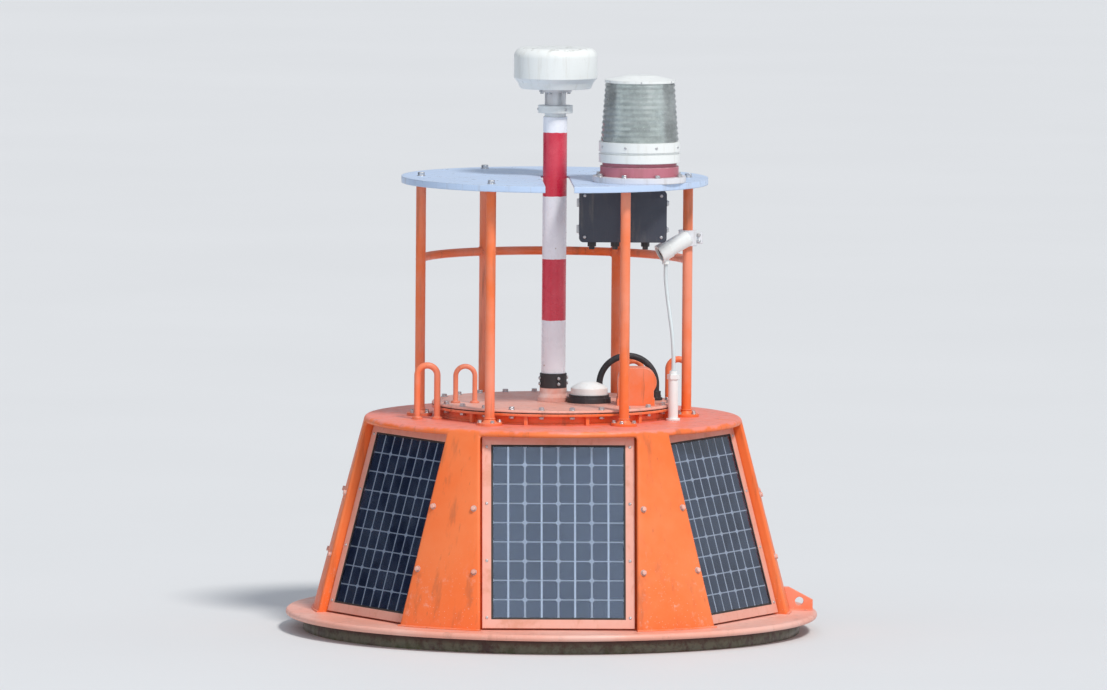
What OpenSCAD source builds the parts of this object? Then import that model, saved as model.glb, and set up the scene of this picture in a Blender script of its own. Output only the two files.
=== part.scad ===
// Solar powered navigation buoy with a conical float, a deck frame, a mast and a lantern
// Millimetres, +Z up, origin on the buoy's axis at the waterline, -Y towards the viewer.
// Azimuths are in degrees from -Y, and turn towards +X.

/* [Float] */
// Radius of the round rim flange
rim_r = 750; // [700:5:800]
// Thickness of the rim flange
rim_t = 18; // [12:1:30]
// Height of the rim flange's underside above the water
rim_z = 40; // [20:1:80]
// Radius of the upper float at the rim
cone_r_bottom = 673.5; // [660:0.5:690]
// Radius of the upper float at the deck
cone_r_top = 530; // [520:1:560]
// Height of the deck above the water
deck_z = 605; // [560:1:650]
// Distance of a flat from the axis at the rim
flat_a_bottom = 606; // [596:1:630]
// Distance of a flat from the axis at the deck
flat_a_top = 448; // [440:1:480]
// Depth of the lower float below the water
keel_z = 250; // [200:5:350]
// Radius of the lower float at the water
bilge_r = 700; // [670:5:720]

/* [Solar panels] */
// Width of a panel over its frame
panel_w = 424; // [380:1:440]
// Greatest height of a panel over its frame, along the slope
panel_h = 545; // [480:1:560]
// Width of the frame's face
panel_rim = 25; // [15:1:32]
// Thickness of the frame
panel_t = 18; // [16:1:25]
// Depth of the pocket that a panel lies in
pocket_depth = 12; // [0:1:14]

/* [Hatch] */
// Radius of the lid
lid_r = 342; // [330:1:350]
// Thickness of the lid, its gasket and the neck's flange together
lid_stack = 17; // [14:1:25]
// Height of the lid's top above the water
lid_z = 647; // [640:1:660]
// Radius of the hatch neck
neck_r = 320; // [300:1:325]

/* [Deck frame] */
// Radius of the ring of posts
post_ring_r = 376; // [374:1:386]
// Diameter of a post
post_d = 28; // [22:1:34]
// Height of the mid rail above the water
rail_z = 1045; // [1000:5:1080]
// Diameter of the mid rail
rail_d = 24; // [16:1:26]
// Radius of the round top plate
plate_r = 432; // [425:1:450]
// Height of the plate's top above the water
plate_z = 1281; // [1270:1:1300]

/* [Mast] */
// Diameter of the mast tube
mast_d = 68; // [60:1:76]
// Height of the mast tube's top above the water
mast_z = 1450; // [1440:1:1460]
// Diameter of the antenna housing
antenna_d = 235; // [200:1:260]
// Height of the antenna housing's top above the water
antenna_z = 1645; // [1620:1:1680]

/* [Lantern] */
// Sideways place of the lantern's axis
lantern_x = 230; // [210:1:240]
// Place of the lantern's axis towards the viewer
lantern_y = -205; // [-220:1:-190]
// Diameter of the lens at its foot
lens_d = 220; // [200:1:230]
// Height of the lantern's top above the water
lantern_z = 1580; // [1560:1:1600]

/* [Keel] */
// Diameter of the tail tube
tail_d = 219; // [180:1:240]
// Depth of the tail tube's foot below the water
tail_z = 820; // [760:10:900]
// Diameter of a ballast disc
ballast_d = 420; // [360:10:480]

/* [Hidden] */
$fn = 64;

orange = [1.0, 0.45, 0.20];
worn_orange = [0.95, 0.58, 0.48];
white = [0.93, 0.93, 0.92];
signal_red = [0.82, 0.16, 0.24];
alloy = [0.78, 0.79, 0.82];
dark = [0.12, 0.12, 0.13];
cast = [0.25, 0.22, 0.20];
galvanised = [0.55, 0.57, 0.58];

rim_top = rim_z + rim_t;
cone_h = deck_z - rim_top;
flat_slope = atan((flat_a_bottom - flat_a_top) / cone_h);
deck_lip_h = 18;
deck_lip = 12;

// The panels reach from just over the rim to just under the deck's lip
panel_gap = 4;
pocket_play = 1;
flat_length = (cone_h - deck_lip_h) / cos(flat_slope);
frame_h = min(panel_h, flat_length - panel_gap - 2 * pocket_play);
glass_w = panel_w - 2 * panel_rim;
glass_h = frame_h - 2 * panel_rim;
panel_proud = panel_t - pocket_depth;

// Places a child at a radius and an azimuth
module at(r, az, z = 0) {
    rotate([0, 0, az]) translate([0, -r, z]) children();
}

// Local frame of a flat: X along it, Z up its slope from the rim, -Y outwards
module on_flat(az) {
    at(flat_a_bottom, az, rim_top) rotate([-flat_slope, 0, 0]) children();
}

// A round disc between two heights
module disc(r, z0, z1) {
    translate([0, 0, z0]) cylinder(r = r, h = z1 - z0);
}

// A round disc with a half-round edge
module bullnose_disc(r, z0, z1) {
    t = z1 - z0;
    rotate_extrude() {
        translate([0, z0]) square([r - t / 2, t]);
        intersection() {
            translate([r - t / 2, z0 + t / 2]) circle(d = t);
            translate([0, z0]) square([r, t]);
        }
    }
}

// A rectangle with round corners, centred
module round_rect(w, h, r) {
    square([w - 2 * r, h], center = true);
    square([w, h - 2 * r], center = true);
    for (x = [-1, 1], y = [-1, 1])
        translate([x * (w / 2 - r), y * (h / 2 - r)]) circle(r = r);
}

// Float

module cone_with_flats(grow, z0, z1) {
    difference() {
        intersection() {
            translate([0, 0, rim_top])
                cylinder(h = cone_h, r1 = cone_r_bottom + grow, r2 = cone_r_top + grow, $fn = 96);
            translate([-rim_r, -rim_r, z0]) cube([2 * rim_r, 2 * rim_r, z1 - z0]);
        }
        for (az = [0 : 60 : 300])
            on_flat(az)
                translate([-rim_r, -rim_r - grow, -rim_r])
                    cube([2 * rim_r, rim_r, 3 * rim_r]);
    }
}

// A pocket is open at its foot, so that it drains
module panel_pocket(az) {
    pocket_w = panel_w + 2 * pocket_play;
    on_flat(az)
        translate([-pocket_w / 2, -1, -deck_lip_h])
            cube([pocket_w, pocket_depth + 1, deck_lip_h + panel_gap + frame_h + pocket_play]);
}

// The deck's lip stands over the upper edges of the panels
module float_upper() {
    color(orange) {
        difference() {
            cone_with_flats(0, rim_top, deck_z);
            for (az = [0 : 60 : 300]) panel_pocket(az);
        }
        cone_with_flats(deck_lip, deck_z - deck_lip_h, deck_z);
    }
}

// The bilge is an arc from the float's side to its sloping bottom, and tangent to both
bilge_arc_r = 120;
bilge_drop = 20;
keel_r = 300;

module float_lower() {
    arc_x = bilge_r - bilge_arc_r;
    run = [arc_x - keel_r, keel_z - bilge_drop];
    slope = atan2(run[1], run[0]) - asin(bilge_arc_r / norm(run));
    foot = [arc_x + bilge_arc_r * sin(slope), -bilge_drop - bilge_arc_r * cos(slope)];
    color(dark)
        rotate_extrude($fn = 96) {
            polygon([[0, rim_z], [bilge_r, rim_z], [bilge_r, -bilge_drop],
                foot, [keel_r, -keel_z], [0, -keel_z]]);
            intersection() {
                translate([arc_x, -bilge_drop]) circle(r = bilge_arc_r);
                translate([arc_x, -bilge_drop - bilge_arc_r]) square(bilge_arc_r);
            }
        }
}

module rim_flange() {
    color(worn_orange) bullnose_disc(rim_r, rim_z, rim_top, $fn = 96);
}

// A three-cornered plate with an eye, in the plane of the axis
lug_t = 16;
lug_eye_r = 12;
lug_top = 66;

module towing_lug() {
    lug_in = cone_r_bottom - 25;
    lug_out = rim_r - 12;
    color(orange)
        difference() {
            translate([0, lug_t / 2, rim_top])
                rotate([90, 0, 0])
                    linear_extrude(lug_t)
                        difference() {
                            polygon([[lug_in, 0], [lug_in, lug_top], [lug_in + 22, lug_top],
                                [lug_out, 30], [lug_out, 0]]);
                            translate([lug_out - 38, 26]) circle(r = lug_eye_r);
                        }
            cone_with_flats(0, rim_top, deck_z);
        }
}

// Solar panels

glass_t = 4;

module panel_frame(az) {
    color(alloy)
        on_flat(az)
            translate([0, -panel_proud, panel_gap])
                difference() {
                    translate([-panel_w / 2, 0, 0]) cube([panel_w, panel_t, frame_h]);
                    translate([-glass_w / 2, -1, panel_rim])
                        cube([glass_w, glass_t + 3, glass_h]);
                }
}

module panel_glass(az) {
    color([0.10, 0.14, 0.26])
        on_flat(az)
            translate([-glass_w / 2, 2 - panel_proud, panel_gap + panel_rim])
                cube([glass_w, glass_t, glass_h]);
}

// Hatch

gusset_t = 10;
gusset_count = 12;
neck_flange_t = 7;
gasket_t = 3;
neck_top = lid_z - lid_stack;

// The neck's flange is as wide as the lid, and stands on gussets
module hatch_neck() {
    color(orange) {
        disc(neck_r, deck_z, neck_top);
        disc(lid_r, neck_top, neck_top + neck_flange_t);
        for (i = [0 : gusset_count - 1])
            at(neck_r, 15 + i * 360 / gusset_count, deck_z)
                translate([-gusset_t / 2, -16, 0])
                    cube([gusset_t, 20, neck_top - deck_z]);
    }
}

module hatch_gasket() {
    color(dark) disc(lid_r - 3, neck_top + neck_flange_t, neck_top + neck_flange_t + gasket_t);
}

// A flat lid with a bevelled edge
module hatch_lid() {
    bevel = 4;
    z0 = neck_top + neck_flange_t + gasket_t;
    color(worn_orange)
        rotate_extrude($fn = 96)
            polygon([[0, z0], [lid_r, z0], [lid_r, lid_z - bevel], [lid_r - bevel, lid_z], [0, lid_z]]);
}

// An arch of round bar standing on z = 0, in the XZ plane
module bar_arch(width, height, bar_d) {
    bend_r = width / 2 - bar_d / 2;
    for (side = [-1, 1])
        translate([side * bend_r, 0, 0]) cylinder(d = bar_d, h = height - width / 2);
    translate([0, 0, height - width / 2])
        rotate([90, 0, 0])
            rotate_extrude(angle = 180) translate([bend_r, 0]) circle(d = bar_d);
}

module lid_handle(x, y) {
    color(orange)
        translate([x, y, lid_z]) {
            bar_arch(68, 110, 14);
            for (side = [-1, 1]) translate([side * 27, 0, 0]) cylinder(d = 26, h = 5);
        }
}

// The lifting bars stand on the deck, opposite each other across the axis
lifting_x = 358;
lifting_y = 132;

module lifting_bar(side) {
    color(orange)
        translate([side * lifting_x, side * lifting_y, deck_z]) {
            bar_arch(74, 160, 18);
            for (foot = [-1, 1]) translate([foot * 28, 0, 0]) cylinder(d = 30, h = 6);
        }
}

// Cable entry box on the lid, right of the mast and towards the viewer: a rounded hump
module cable_box() {
    color(orange)
        translate([236, -70, lid_z])
            rotate([90, 0, 0])
                linear_extrude(80) {
                    translate([-61, 0]) square([106, 20]);
                    translate([-58, 0]) square([100, 74]);
                    translate([-24, 72]) circle(r = 34);
                    translate([10, 66]) circle(r = 40);
                    translate([-24, 60]) square([34, 46]);
                }
}

// Black cable that arches over the lid, with a gland at each foot
module cable_loop() {
    loop_w = 178;
    loop_h = 134;
    loop_d = 18;
    color(dark)
        translate([212, 44, lid_z]) {
            bar_arch(loop_w, loop_h, loop_d);
            for (side = [-1, 1])
                translate([side * (loop_w - loop_d) / 2, 0, 0]) {
                    cylinder(d = 36, h = 8, $fn = 6);
                    cylinder(d = 27, h = 26);
                }
        }
}

vent_x = 100;
vent_y = -42;

module vent_base() {
    color(dark)
        translate([vent_x, vent_y, 0]) {
            disc(61, lid_z, lid_z + 14);
            disc(57, lid_z + 14, lid_z + 22);
        }
}

module vent_cap() {
    cap_r = 52;
    dome_r = 80;
    cap_h = 38;
    color(white)
        translate([vent_x, vent_y, lid_z + 22])
            intersection() {
                translate([0, 0, cap_h - dome_r]) sphere(r = dome_r);
                cylinder(r = cap_r, h = cap_h + 10);
            }
}

// Deck frame

foot_r = 36;
foot_t = 8;
pad_r = 26;
pad_t = 6;
plate_t = 5;
plate_lip = 18;
post_top = plate_z - plate_t;

module post(az) {
    color(orange)
        at(post_ring_r, az) {
            disc(post_d / 2, deck_z, post_top);
            disc(foot_r, deck_z, deck_z + foot_t);
            translate([0, 0, deck_z + foot_t]) cylinder(h = 10, r1 = post_d / 2 + 7, r2 = post_d / 2);
            disc(pad_r, post_top - pad_t, post_top);
        }
}

module mid_rail() {
    color(orange)
        difference() {
            translate([0, 0, rail_z])
                rotate_extrude(angle = 180)
                    translate([post_ring_r, 0]) circle(d = rail_d);
            for (az = [90 : 60 : 270])
                at(post_ring_r, az, rail_z - 50) cylinder(d = post_d, h = 100);
        }
}

// The slot runs from the plate's front edge to the axis, for the mast
slot_w = 80;

module top_plate() {
    color(white)
        difference() {
            disc(plate_r, plate_z - plate_lip, plate_z);
            disc(plate_r - plate_t, plate_z - plate_lip - 1, plate_z - plate_t);
            translate([-slot_w / 2, -plate_r - 1, plate_z - plate_lip - 1])
                cube([slot_w, plate_r + 1, plate_lip + 2]);
            disc(slot_w / 2, plate_z - plate_lip - 1, plate_z + 1);
        }
}

// Mast

collar_z = mast_z + 32;
dome_z = mast_z + 80;

// Columns: lower end, upper end, colour
MAST_BANDS = [
    [726, 876, white],
    [876, 1049, signal_red],
    [1049, 1226, white],
    [1226, 1406, signal_red],
    [1406, mast_z, white]
];

// A bolted flange and a socket that grips the tube
module mast_foot() {
    foot_top = MAST_BANDS[0][0];
    color(dark) {
        disc(44, lid_z, lid_z + 12);
        translate([0, 0, lid_z + 12]) cylinder(h = 10, r1 = 43, r2 = 38);
        disc(38, lid_z + 22, foot_top);
    }
}

module mast_tube() {
    for (band = MAST_BANDS)
        color(band[2]) disc(mast_d / 2, band[0], band[1]);
}

module mast_collar() {
    color(dark) disc(30, mast_z, collar_z - 21);
    color(white) disc(49, collar_z - 21, collar_z);
}

module antenna_neck() {
    color(alloy) {
        disc(30, collar_z, dome_z - 10);
        disc(46, dome_z - 10, dome_z);
    }
}

module antenna_dome() {
    r = antenna_d / 2;
    edge = 26;
    color(white)
        rotate_extrude($fn = 96)
            union() {
                polygon([[0, dome_z], [r - 18, dome_z], [r - 10, dome_z + 18], [r, dome_z + 30],
                    [r, antenna_z - edge], [r - edge, antenna_z], [0, antenna_z]]);
                translate([r - edge, antenna_z - edge]) circle(r = edge);
            }
}

// Lantern

lens_z = 1395;
lens_top = 1560;
lens_wall = 6;
lens_taper = 12;
ring_h = 58;
lantern_flange_t = 17;

module at_lantern() {
    translate([lantern_x, lantern_y, 0]) children();
}

module lantern_flange() {
    color(white) at_lantern() disc(131, plate_z, plate_z + lantern_flange_t);
}

module lantern_neck() {
    color(worn_orange) at_lantern() {
        disc(110, plate_z + lantern_flange_t, plate_z + 45);
        disc(104, plate_z + 45, lens_z - ring_h);
    }
}

// The ring under the lens has a groove round its middle
module lantern_ring() {
    r = lens_d / 2 + 4;
    color(white) at_lantern() {
        disc(r, lens_z - ring_h, lens_z - 34);
        disc(r - 4, lens_z - 34, lens_z - 28);
        disc(r, lens_z - 28, lens_z);
    }
}

rib_count = 11;
rib_depth = 2.5;

function lens_r(z) = lens_d / 2 - lens_taper * (z - lens_z) / (lens_top - lens_z);

// A tapered wall with prism ribs round its outside
module lantern_lens() {
    pitch = (lens_top - lens_z) / rib_count;
    outside = [for (i = [0 : rib_count - 1]) let (z = lens_z + i * pitch)
        each [[lens_r(z) - rib_depth, z], [lens_r(z + pitch / 2), z + pitch / 2]]];
    color([0.85, 0.92, 0.88, 0.5])
        at_lantern()
            rotate_extrude()
                polygon(concat(outside, [[lens_r(lens_top) - rib_depth, lens_top],
                    [lens_r(lens_top) - lens_wall, lens_top], [lens_r(lens_z) - lens_wall, lens_z]]));
}

module lantern_cap() {
    color(white) at_lantern() {
        disc(lens_r(lens_top) + 1, lens_top, lens_top + 8);
        translate([0, 0, lens_top + 8])
            cylinder(h = lantern_z - lens_top - 8, r1 = lens_r(lens_top) - 3, r2 = 40);
    }
}

// A finned lamp module on a stem
module lantern_core() {
    fins = 7;
    fin_pitch = 20;
    color([0.45, 0.50, 0.48]) at_lantern() {
        disc(26, lens_z, lens_top);
        disc(62, lens_z, lens_z + 12);
        for (i = [0 : fins - 1])
            disc(50, lens_z + 20 + i * fin_pitch, lens_z + 28 + i * fin_pitch);
    }
}

// Instruments under the plate

box_low = [62, -230, 1112];
box_size = [245, 150, 146];
box_lid_t = 16;

// An enclosure with round upright edges, and its lid towards the viewer
module control_box() {
    mid_x = box_low[0] + box_size[0] / 2;
    mid_z = box_low[2] + box_size[2] / 2;
    color([0.20, 0.22, 0.26])
        translate([mid_x, box_low[1] + box_size[1], mid_z])
            rotate([90, 0, 0]) {
                linear_extrude(box_size[1] - box_lid_t - 3) round_rect(box_size[0] - 8, box_size[2] - 8, 10);
                linear_extrude(box_size[1]) round_rect(box_size[0] - 14, box_size[2] - 14, 8);
                translate([0, 0, box_size[1] - box_lid_t])
                    linear_extrude(box_lid_t) round_rect(box_size[0], box_size[2], 12);
            }
}

gland_hex = 24;

module box_glands() {
    color(dark)
        for (x = [100, 165, 250])
            translate([x, box_low[1] + 70, box_low[2] - 24]) {
                cylinder(d = 16, h = 28);
                translate([0, 0, 8]) cylinder(d = gland_hex, h = 12, $fn = 6);
            }
}

// Two rails hang the control box under the plate
module box_rails() {
    top = box_low[2] + box_size[2] - 4;
    color(alloy)
        for (dy = [30, 110])
            translate([box_low[0] + 20, box_low[1] + dy, top])
                cube([box_size[0] - 40, 20, post_top - top]);
}

camera_d = 46;
camera_l = 92;

// Places a child at the camera's back end, with +Z along its body to the front
module at_camera() {
    translate([372, -50, 1112]) rotate([0, 0, 195]) rotate([0, 118, 0]) children();
}

// A round body with a wider hood at its front and a gland under it for the cable
module camera() {
    color(white)
        difference() {
            union() {
                at_camera() {
                    disc(camera_d / 2 - 3, -6, 0);
                    disc(camera_d / 2, 0, camera_l);
                    disc(camera_d / 2 + 3, camera_l - 34, camera_l);
                }
                translate([cable_top[0], cable_top[1], cable_top[2]]) cylinder(d = 20, h = 34);
            }
            at_camera() disc(camera_d / 2 - 2, camera_l - 12, camera_l + 1);
        }
}

clamp_r = 26;
clamp_z = 1088;
clamp_h = 44;

// A split band round the post, with ears, and a saddle for the camera
module camera_clamp() {
    color(white)
        difference() {
            union() {
                translate([post_ring_r, 0, clamp_z]) cylinder(r = clamp_r, h = clamp_h);
                translate([post_ring_r - 26, -44, clamp_z]) cube([30, 44, clamp_h]);
                translate([post_ring_r + 12, -5, clamp_z + 6]) cube([30, 10, clamp_h - 12]);
            }
            translate([post_ring_r, 0, clamp_z - 1]) cylinder(d = post_d, h = clamp_h + 2);
            translate([post_ring_r, -1, clamp_z - 1]) cube([50, 2, clamp_h + 2]);
            at_camera() disc(camera_d / 2, -40, camera_l - 34);
            at_camera() disc(camera_d / 2 + 3, camera_l - 34, camera_l + 20);
        }
}

// Route of the hanging cable: x, y, z
CABLE_ROUTE = [
    [312, -66, 1040], [312, -66, 1023], [312, -67, 1006], [313, -70, 988],
    [315, -75, 969], [317, -82, 950], [319, -90, 931], [322, -99, 911],
    [324, -108, 891], [327, -117, 871], [329, -124, 851], [331, -131, 830],
    [332, -135, 809], [333, -137, 788], [333, -137, 766], [333, -137, 745]
];
cable_top = CABLE_ROUTE[0];
cable_foot = CABLE_ROUTE[len(CABLE_ROUTE) - 1];
cable_d = 11;
CABLE_SIDES = 8;

function unit(v) = v / norm(v);
function tangent(route, i) =
    unit(route[min(i + 1, len(route) - 1)] - route[max(i - 1, 0)]);
function ring_points(route, i, r) =
    let (t = tangent(route, i), u = unit(cross([0, 1, 0], t)), v = cross(t, u))
    [for (s = [0 : CABLE_SIDES - 1])
        route[i] + r * (cos(s * 360 / CABLE_SIDES) * u + sin(s * 360 / CABLE_SIDES) * v)];

module tube(route, d) {
    rings = len(route);
    points = [for (i = [0 : rings - 1]) each ring_points(route, i, d / 2)];
    sides = [for (i = [0 : rings - 2], s = [0 : CABLE_SIDES - 1])
        let (a = i * CABLE_SIDES + s, b = i * CABLE_SIDES + (s + 1) % CABLE_SIDES)
        [a, a + CABLE_SIDES, b + CABLE_SIDES, b]];
    first = [for (s = [0 : CABLE_SIDES - 1]) s];
    last = [for (s = [CABLE_SIDES - 1 : -1 : 0]) (rings - 1) * CABLE_SIDES + s];
    polyhedron(points, concat([first], sides, [last]));
}

module camera_cable() {
    color(white) tube(CABLE_ROUTE, cable_d);
}

// A pipe on the deck takes the cable in through a gland with a hexagon nut
pipe_r = 14;

module cable_gland() {
    nut_h = 14;
    nut_z = cable_foot[2] - 10 - nut_h;
    color(white)
        translate([cable_foot[0], cable_foot[1], 0]) {
            disc(pipe_r, deck_z, nut_z + 1);
            disc(pipe_r + 6, deck_z, deck_z + 6);
            translate([0, 0, nut_z]) cylinder(r = pipe_r + 4, h = nut_h, $fn = 6);
            disc(pipe_r - 3, nut_z, cable_foot[2]);
        }
}

// Keel

fin_count = 6;
fin_t = 10;

// The tube hangs from the float's bottom on gussets, and ends in a flange
module tail_tube() {
    color(dark) {
        disc(tail_d / 2, -tail_z, -keel_z);
        disc(tail_d / 2 + 50, -tail_z, -tail_z + 20);
        for (i = [0 : fin_count - 1])
            rotate([0, 0, i * 360 / fin_count])
                rotate([90, 0, 0])
                    translate([0, 0, -fin_t / 2])
                        linear_extrude(fin_t)
                            polygon([[tail_d / 2 - 4, -keel_z], [keel_r - 20, -keel_z],
                                [keel_r - 20, -keel_z - 20], [tail_d / 2 + 20, -keel_z - 180],
                                [tail_d / 2 - 4, -keel_z - 180]]);
    }
}

// Columns: lower face below the water, upper face below the water
BALLAST = [[tail_z - 20, tail_z - 80], [tail_z - 85, tail_z - 145]];

module ballast_discs() {
    color(cast)
        for (b = BALLAST)
            difference() {
                disc(ballast_d / 2, -b[0], -b[1]);
                disc(tail_d / 2, -b[0] - 1, -b[1] + 1);
            }
}

anode_count = 4;

module anodes() {
    color(alloy)
        for (i = [0 : anode_count - 1])
            at(tail_d / 2 + 14, 45 + i * 360 / anode_count, -tail_z + 160)
                difference() {
                    translate([-25, -14, 0]) cube([50, 30, 200]);
                    translate([0, tail_d / 2 + 14, -1]) cylinder(d = tail_d, h = 202);
                }
}

yoke_h = 110;
yoke_plate_t = 30;
yoke_in = 60;
stem_r = 20;
stem_clear = 0.05;
yoke_z = -tail_z - yoke_h;

module swivel_yoke() {
    color(galvanised)
        difference() {
            translate([-yoke_in - 20, -40, yoke_z]) cube([2 * yoke_in + 40, 80, yoke_h]);
            translate([-yoke_in, -41, yoke_z + yoke_plate_t])
                cube([2 * yoke_in, 82, yoke_h - yoke_plate_t + 1]);
            translate([0, 0, yoke_z - 1]) cylinder(r = stem_r + stem_clear, h = yoke_plate_t + 2);
        }
}

eye_z = yoke_z - 68;
eye_r = 55;
eye_t = 32;
pin_r = 17;
pin_clear = 0.05;

module mooring_swivel() {
    color(galvanised)
        difference() {
            union() {
                disc(stem_r, eye_z + 30, yoke_z + yoke_plate_t + 34);
                disc(30, yoke_z - 20, yoke_z - 1);
                disc(34, yoke_z + yoke_plate_t + 1, yoke_z + yoke_plate_t + 6);
                translate([0, 0, yoke_z + yoke_plate_t + 5]) cylinder(r = 34, h = 26, $fn = 6);
                translate([0, eye_t / 2, eye_z]) rotate([90, 0, 0]) cylinder(r = eye_r, h = eye_t);
            }
            translate([0, eye_t / 2 + 1, eye_z])
                rotate([90, 0, 0]) cylinder(r = pin_r + pin_clear, h = eye_t + 2);
        }
}

shackle_gap = 44;
ear_t = 30;
ear_r = 36;
bow_rod_r = 15;
bow_drop = 90;

module shackle_bow() {
    rod_y = shackle_gap / 2 + ear_t / 2;
    color(galvanised)
        difference() {
            union() {
                for (side = [-1, 1]) {
                    translate([0, side * rod_y + ear_t / 2, eye_z])
                        rotate([90, 0, 0]) cylinder(r = ear_r, h = ear_t);
                    translate([0, side * rod_y, eye_z - bow_drop]) cylinder(r = bow_rod_r, h = bow_drop);
                }
                translate([0, 0, eye_z - bow_drop])
                    rotate([0, 90, 0]) rotate([0, 0, -90])
                        rotate_extrude(angle = 180) translate([rod_y, 0]) circle(r = bow_rod_r);
            }
            translate([0, 100, eye_z]) rotate([90, 0, 0]) cylinder(r = pin_r, h = 200);
        }
}

module shackle_pin() {
    half = shackle_gap / 2 + ear_t;
    color(alloy) {
        translate([0, half + 14, eye_z]) rotate([90, 0, 0]) cylinder(r = pin_r, h = 2 * half + 28);
        translate([0, -half, eye_z]) rotate([90, 0, 0]) cylinder(r = 27, h = 14);
        translate([0, half + 14, eye_z]) rotate([90, 0, 0]) cylinder(r = 27, h = 14, $fn = 6);
    }
}

float_upper();
float_lower();
rim_flange();
towing_lug();
panel_frame(0);  // panel_frame_1
panel_frame(60);  // panel_frame_2
panel_frame(120);  // panel_frame_3
panel_frame(180);  // panel_frame_4
panel_frame(240);  // panel_frame_5
panel_frame(300);  // panel_frame_6
panel_glass(0);  // panel_glass_1
panel_glass(60);  // panel_glass_2
panel_glass(120);  // panel_glass_3
panel_glass(180);  // panel_glass_4
panel_glass(240);  // panel_glass_5
panel_glass(300);  // panel_glass_6
hatch_neck();
hatch_gasket();
hatch_lid();
lid_handle(-250, -80);  // lid_handle_left
lid_handle(230, 130);  // lid_handle_right
lifting_bar(-1);  // lifting_bar_left
lifting_bar(1);  // lifting_bar_right
cable_box();
cable_loop();
vent_base();
vent_cap();
post(-30);  // post_1
post(30);  // post_2
post(90);  // post_3
post(150);  // post_4
post(210);  // post_5
post(270);  // post_6
mid_rail();
top_plate();
mast_foot();
mast_tube();
mast_collar();
antenna_neck();
antenna_dome();
lantern_flange();
lantern_neck();
lantern_ring();
lantern_lens();
lantern_cap();
lantern_core();
control_box();
box_rails();
box_glands();
camera();
camera_clamp();
camera_cable();
cable_gland();
tail_tube();
ballast_discs();
anodes();
swivel_yoke();
mooring_swivel();
shackle_bow();
shackle_pin();
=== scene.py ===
# %% [markdown]
# A solar powered navigation buoy, dressed round its CAD frame. The frame brings the solid pieces.
# This file gives them their finishes and adds what is too small or too many for the frame: solar
# cells, bolts, welds and growth, and the float's smooth shell.
#
# Metres, +Z up, origin on the buoy's axis at the waterline, -Y towards the viewer. Azimuths are in
# degrees from -Y, and turn towards +X, as in the part's source.

# %% Load the frame
import math
import random

import bpy
from mathutils import Matrix, Vector


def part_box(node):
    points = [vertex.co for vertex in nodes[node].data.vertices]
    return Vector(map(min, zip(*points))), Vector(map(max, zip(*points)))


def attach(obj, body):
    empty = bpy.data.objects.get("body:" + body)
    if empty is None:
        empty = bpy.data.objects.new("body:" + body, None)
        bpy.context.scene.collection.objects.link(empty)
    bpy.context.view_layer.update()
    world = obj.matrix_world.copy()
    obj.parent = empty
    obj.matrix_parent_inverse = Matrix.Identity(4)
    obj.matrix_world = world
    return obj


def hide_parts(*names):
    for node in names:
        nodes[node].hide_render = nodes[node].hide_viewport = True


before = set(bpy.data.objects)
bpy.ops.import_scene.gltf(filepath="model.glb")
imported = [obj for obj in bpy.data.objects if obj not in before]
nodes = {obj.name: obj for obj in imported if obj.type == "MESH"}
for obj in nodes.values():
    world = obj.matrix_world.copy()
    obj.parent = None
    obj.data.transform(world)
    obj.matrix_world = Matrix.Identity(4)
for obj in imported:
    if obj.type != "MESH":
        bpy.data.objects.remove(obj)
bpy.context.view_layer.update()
scene = bpy.context.scene
print("CAD nodes:", len(nodes))

# %% [markdown]
# The camera comes first. It stands 38 m off and a little above the buoy. A near camera with a short
# lens could frame the buoy too, but it would bend the rim and deck into rounder ovals, so the real
# distance is kept and a long lens fills the frame. A small roll stands for the heel of a buoy afloat.

# %% Camera
CAMERA_AZIMUTH = -1.9
CAMERA_HEIGHT = 3.8
CAMERA_DISTANCE = 38.0
CAMERA_ROLL = 0.45
LOOK_AT = Vector((0.0, 0.0, 0.805))
SENSOR = 36.0
VIEW_WIDTH = 3.12

azimuth = math.radians(CAMERA_AZIMUTH)
elevation = math.asin((CAMERA_HEIGHT - LOOK_AT.z) / CAMERA_DISTANCE)
back = Vector((math.sin(azimuth) * math.cos(elevation), -math.cos(azimuth) * math.cos(elevation),
               math.sin(elevation)))
camera = bpy.data.objects.new("camera_main", bpy.data.cameras.new("camera_main"))
scene.collection.objects.link(camera)
camera.data.sensor_width = SENSOR
camera.data.lens = SENSOR * CAMERA_DISTANCE / VIEW_WIDTH
camera.data.clip_end = 500
camera.location = LOOK_AT + back * CAMERA_DISTANCE
turn = (-back).to_track_quat("-Z", "Y").to_matrix() @ Matrix.Rotation(math.radians(CAMERA_ROLL), 3, "Z")
camera.rotation_euler = turn.to_euler()
scene.camera = camera
print("lens", round(camera.data.lens))

# %% [markdown]
# The cable hangs free from the camera's gland to the gland on the deck. Its route repeats the
# part's own, point by point, in metres. A tube of mesh could be swept along it. A curve with a round
# bevel is used instead, because its route stays readable and its length exact.

# %% Hanging cable
CABLE_POINTS = [
    (0.312, -0.066, 1.040), (0.312, -0.066, 1.023), (0.312, -0.067, 1.006), (0.313, -0.070, 0.988),
    (0.315, -0.075, 0.969), (0.317, -0.082, 0.950), (0.319, -0.090, 0.931), (0.322, -0.099, 0.911),
    (0.324, -0.108, 0.891), (0.327, -0.117, 0.871), (0.329, -0.124, 0.851), (0.331, -0.131, 0.830),
    (0.332, -0.135, 0.809), (0.333, -0.137, 0.788), (0.333, -0.137, 0.766), (0.333, -0.137, 0.745),
]
CABLE_D = 0.011
POINT_RADIUS = 0.01

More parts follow.
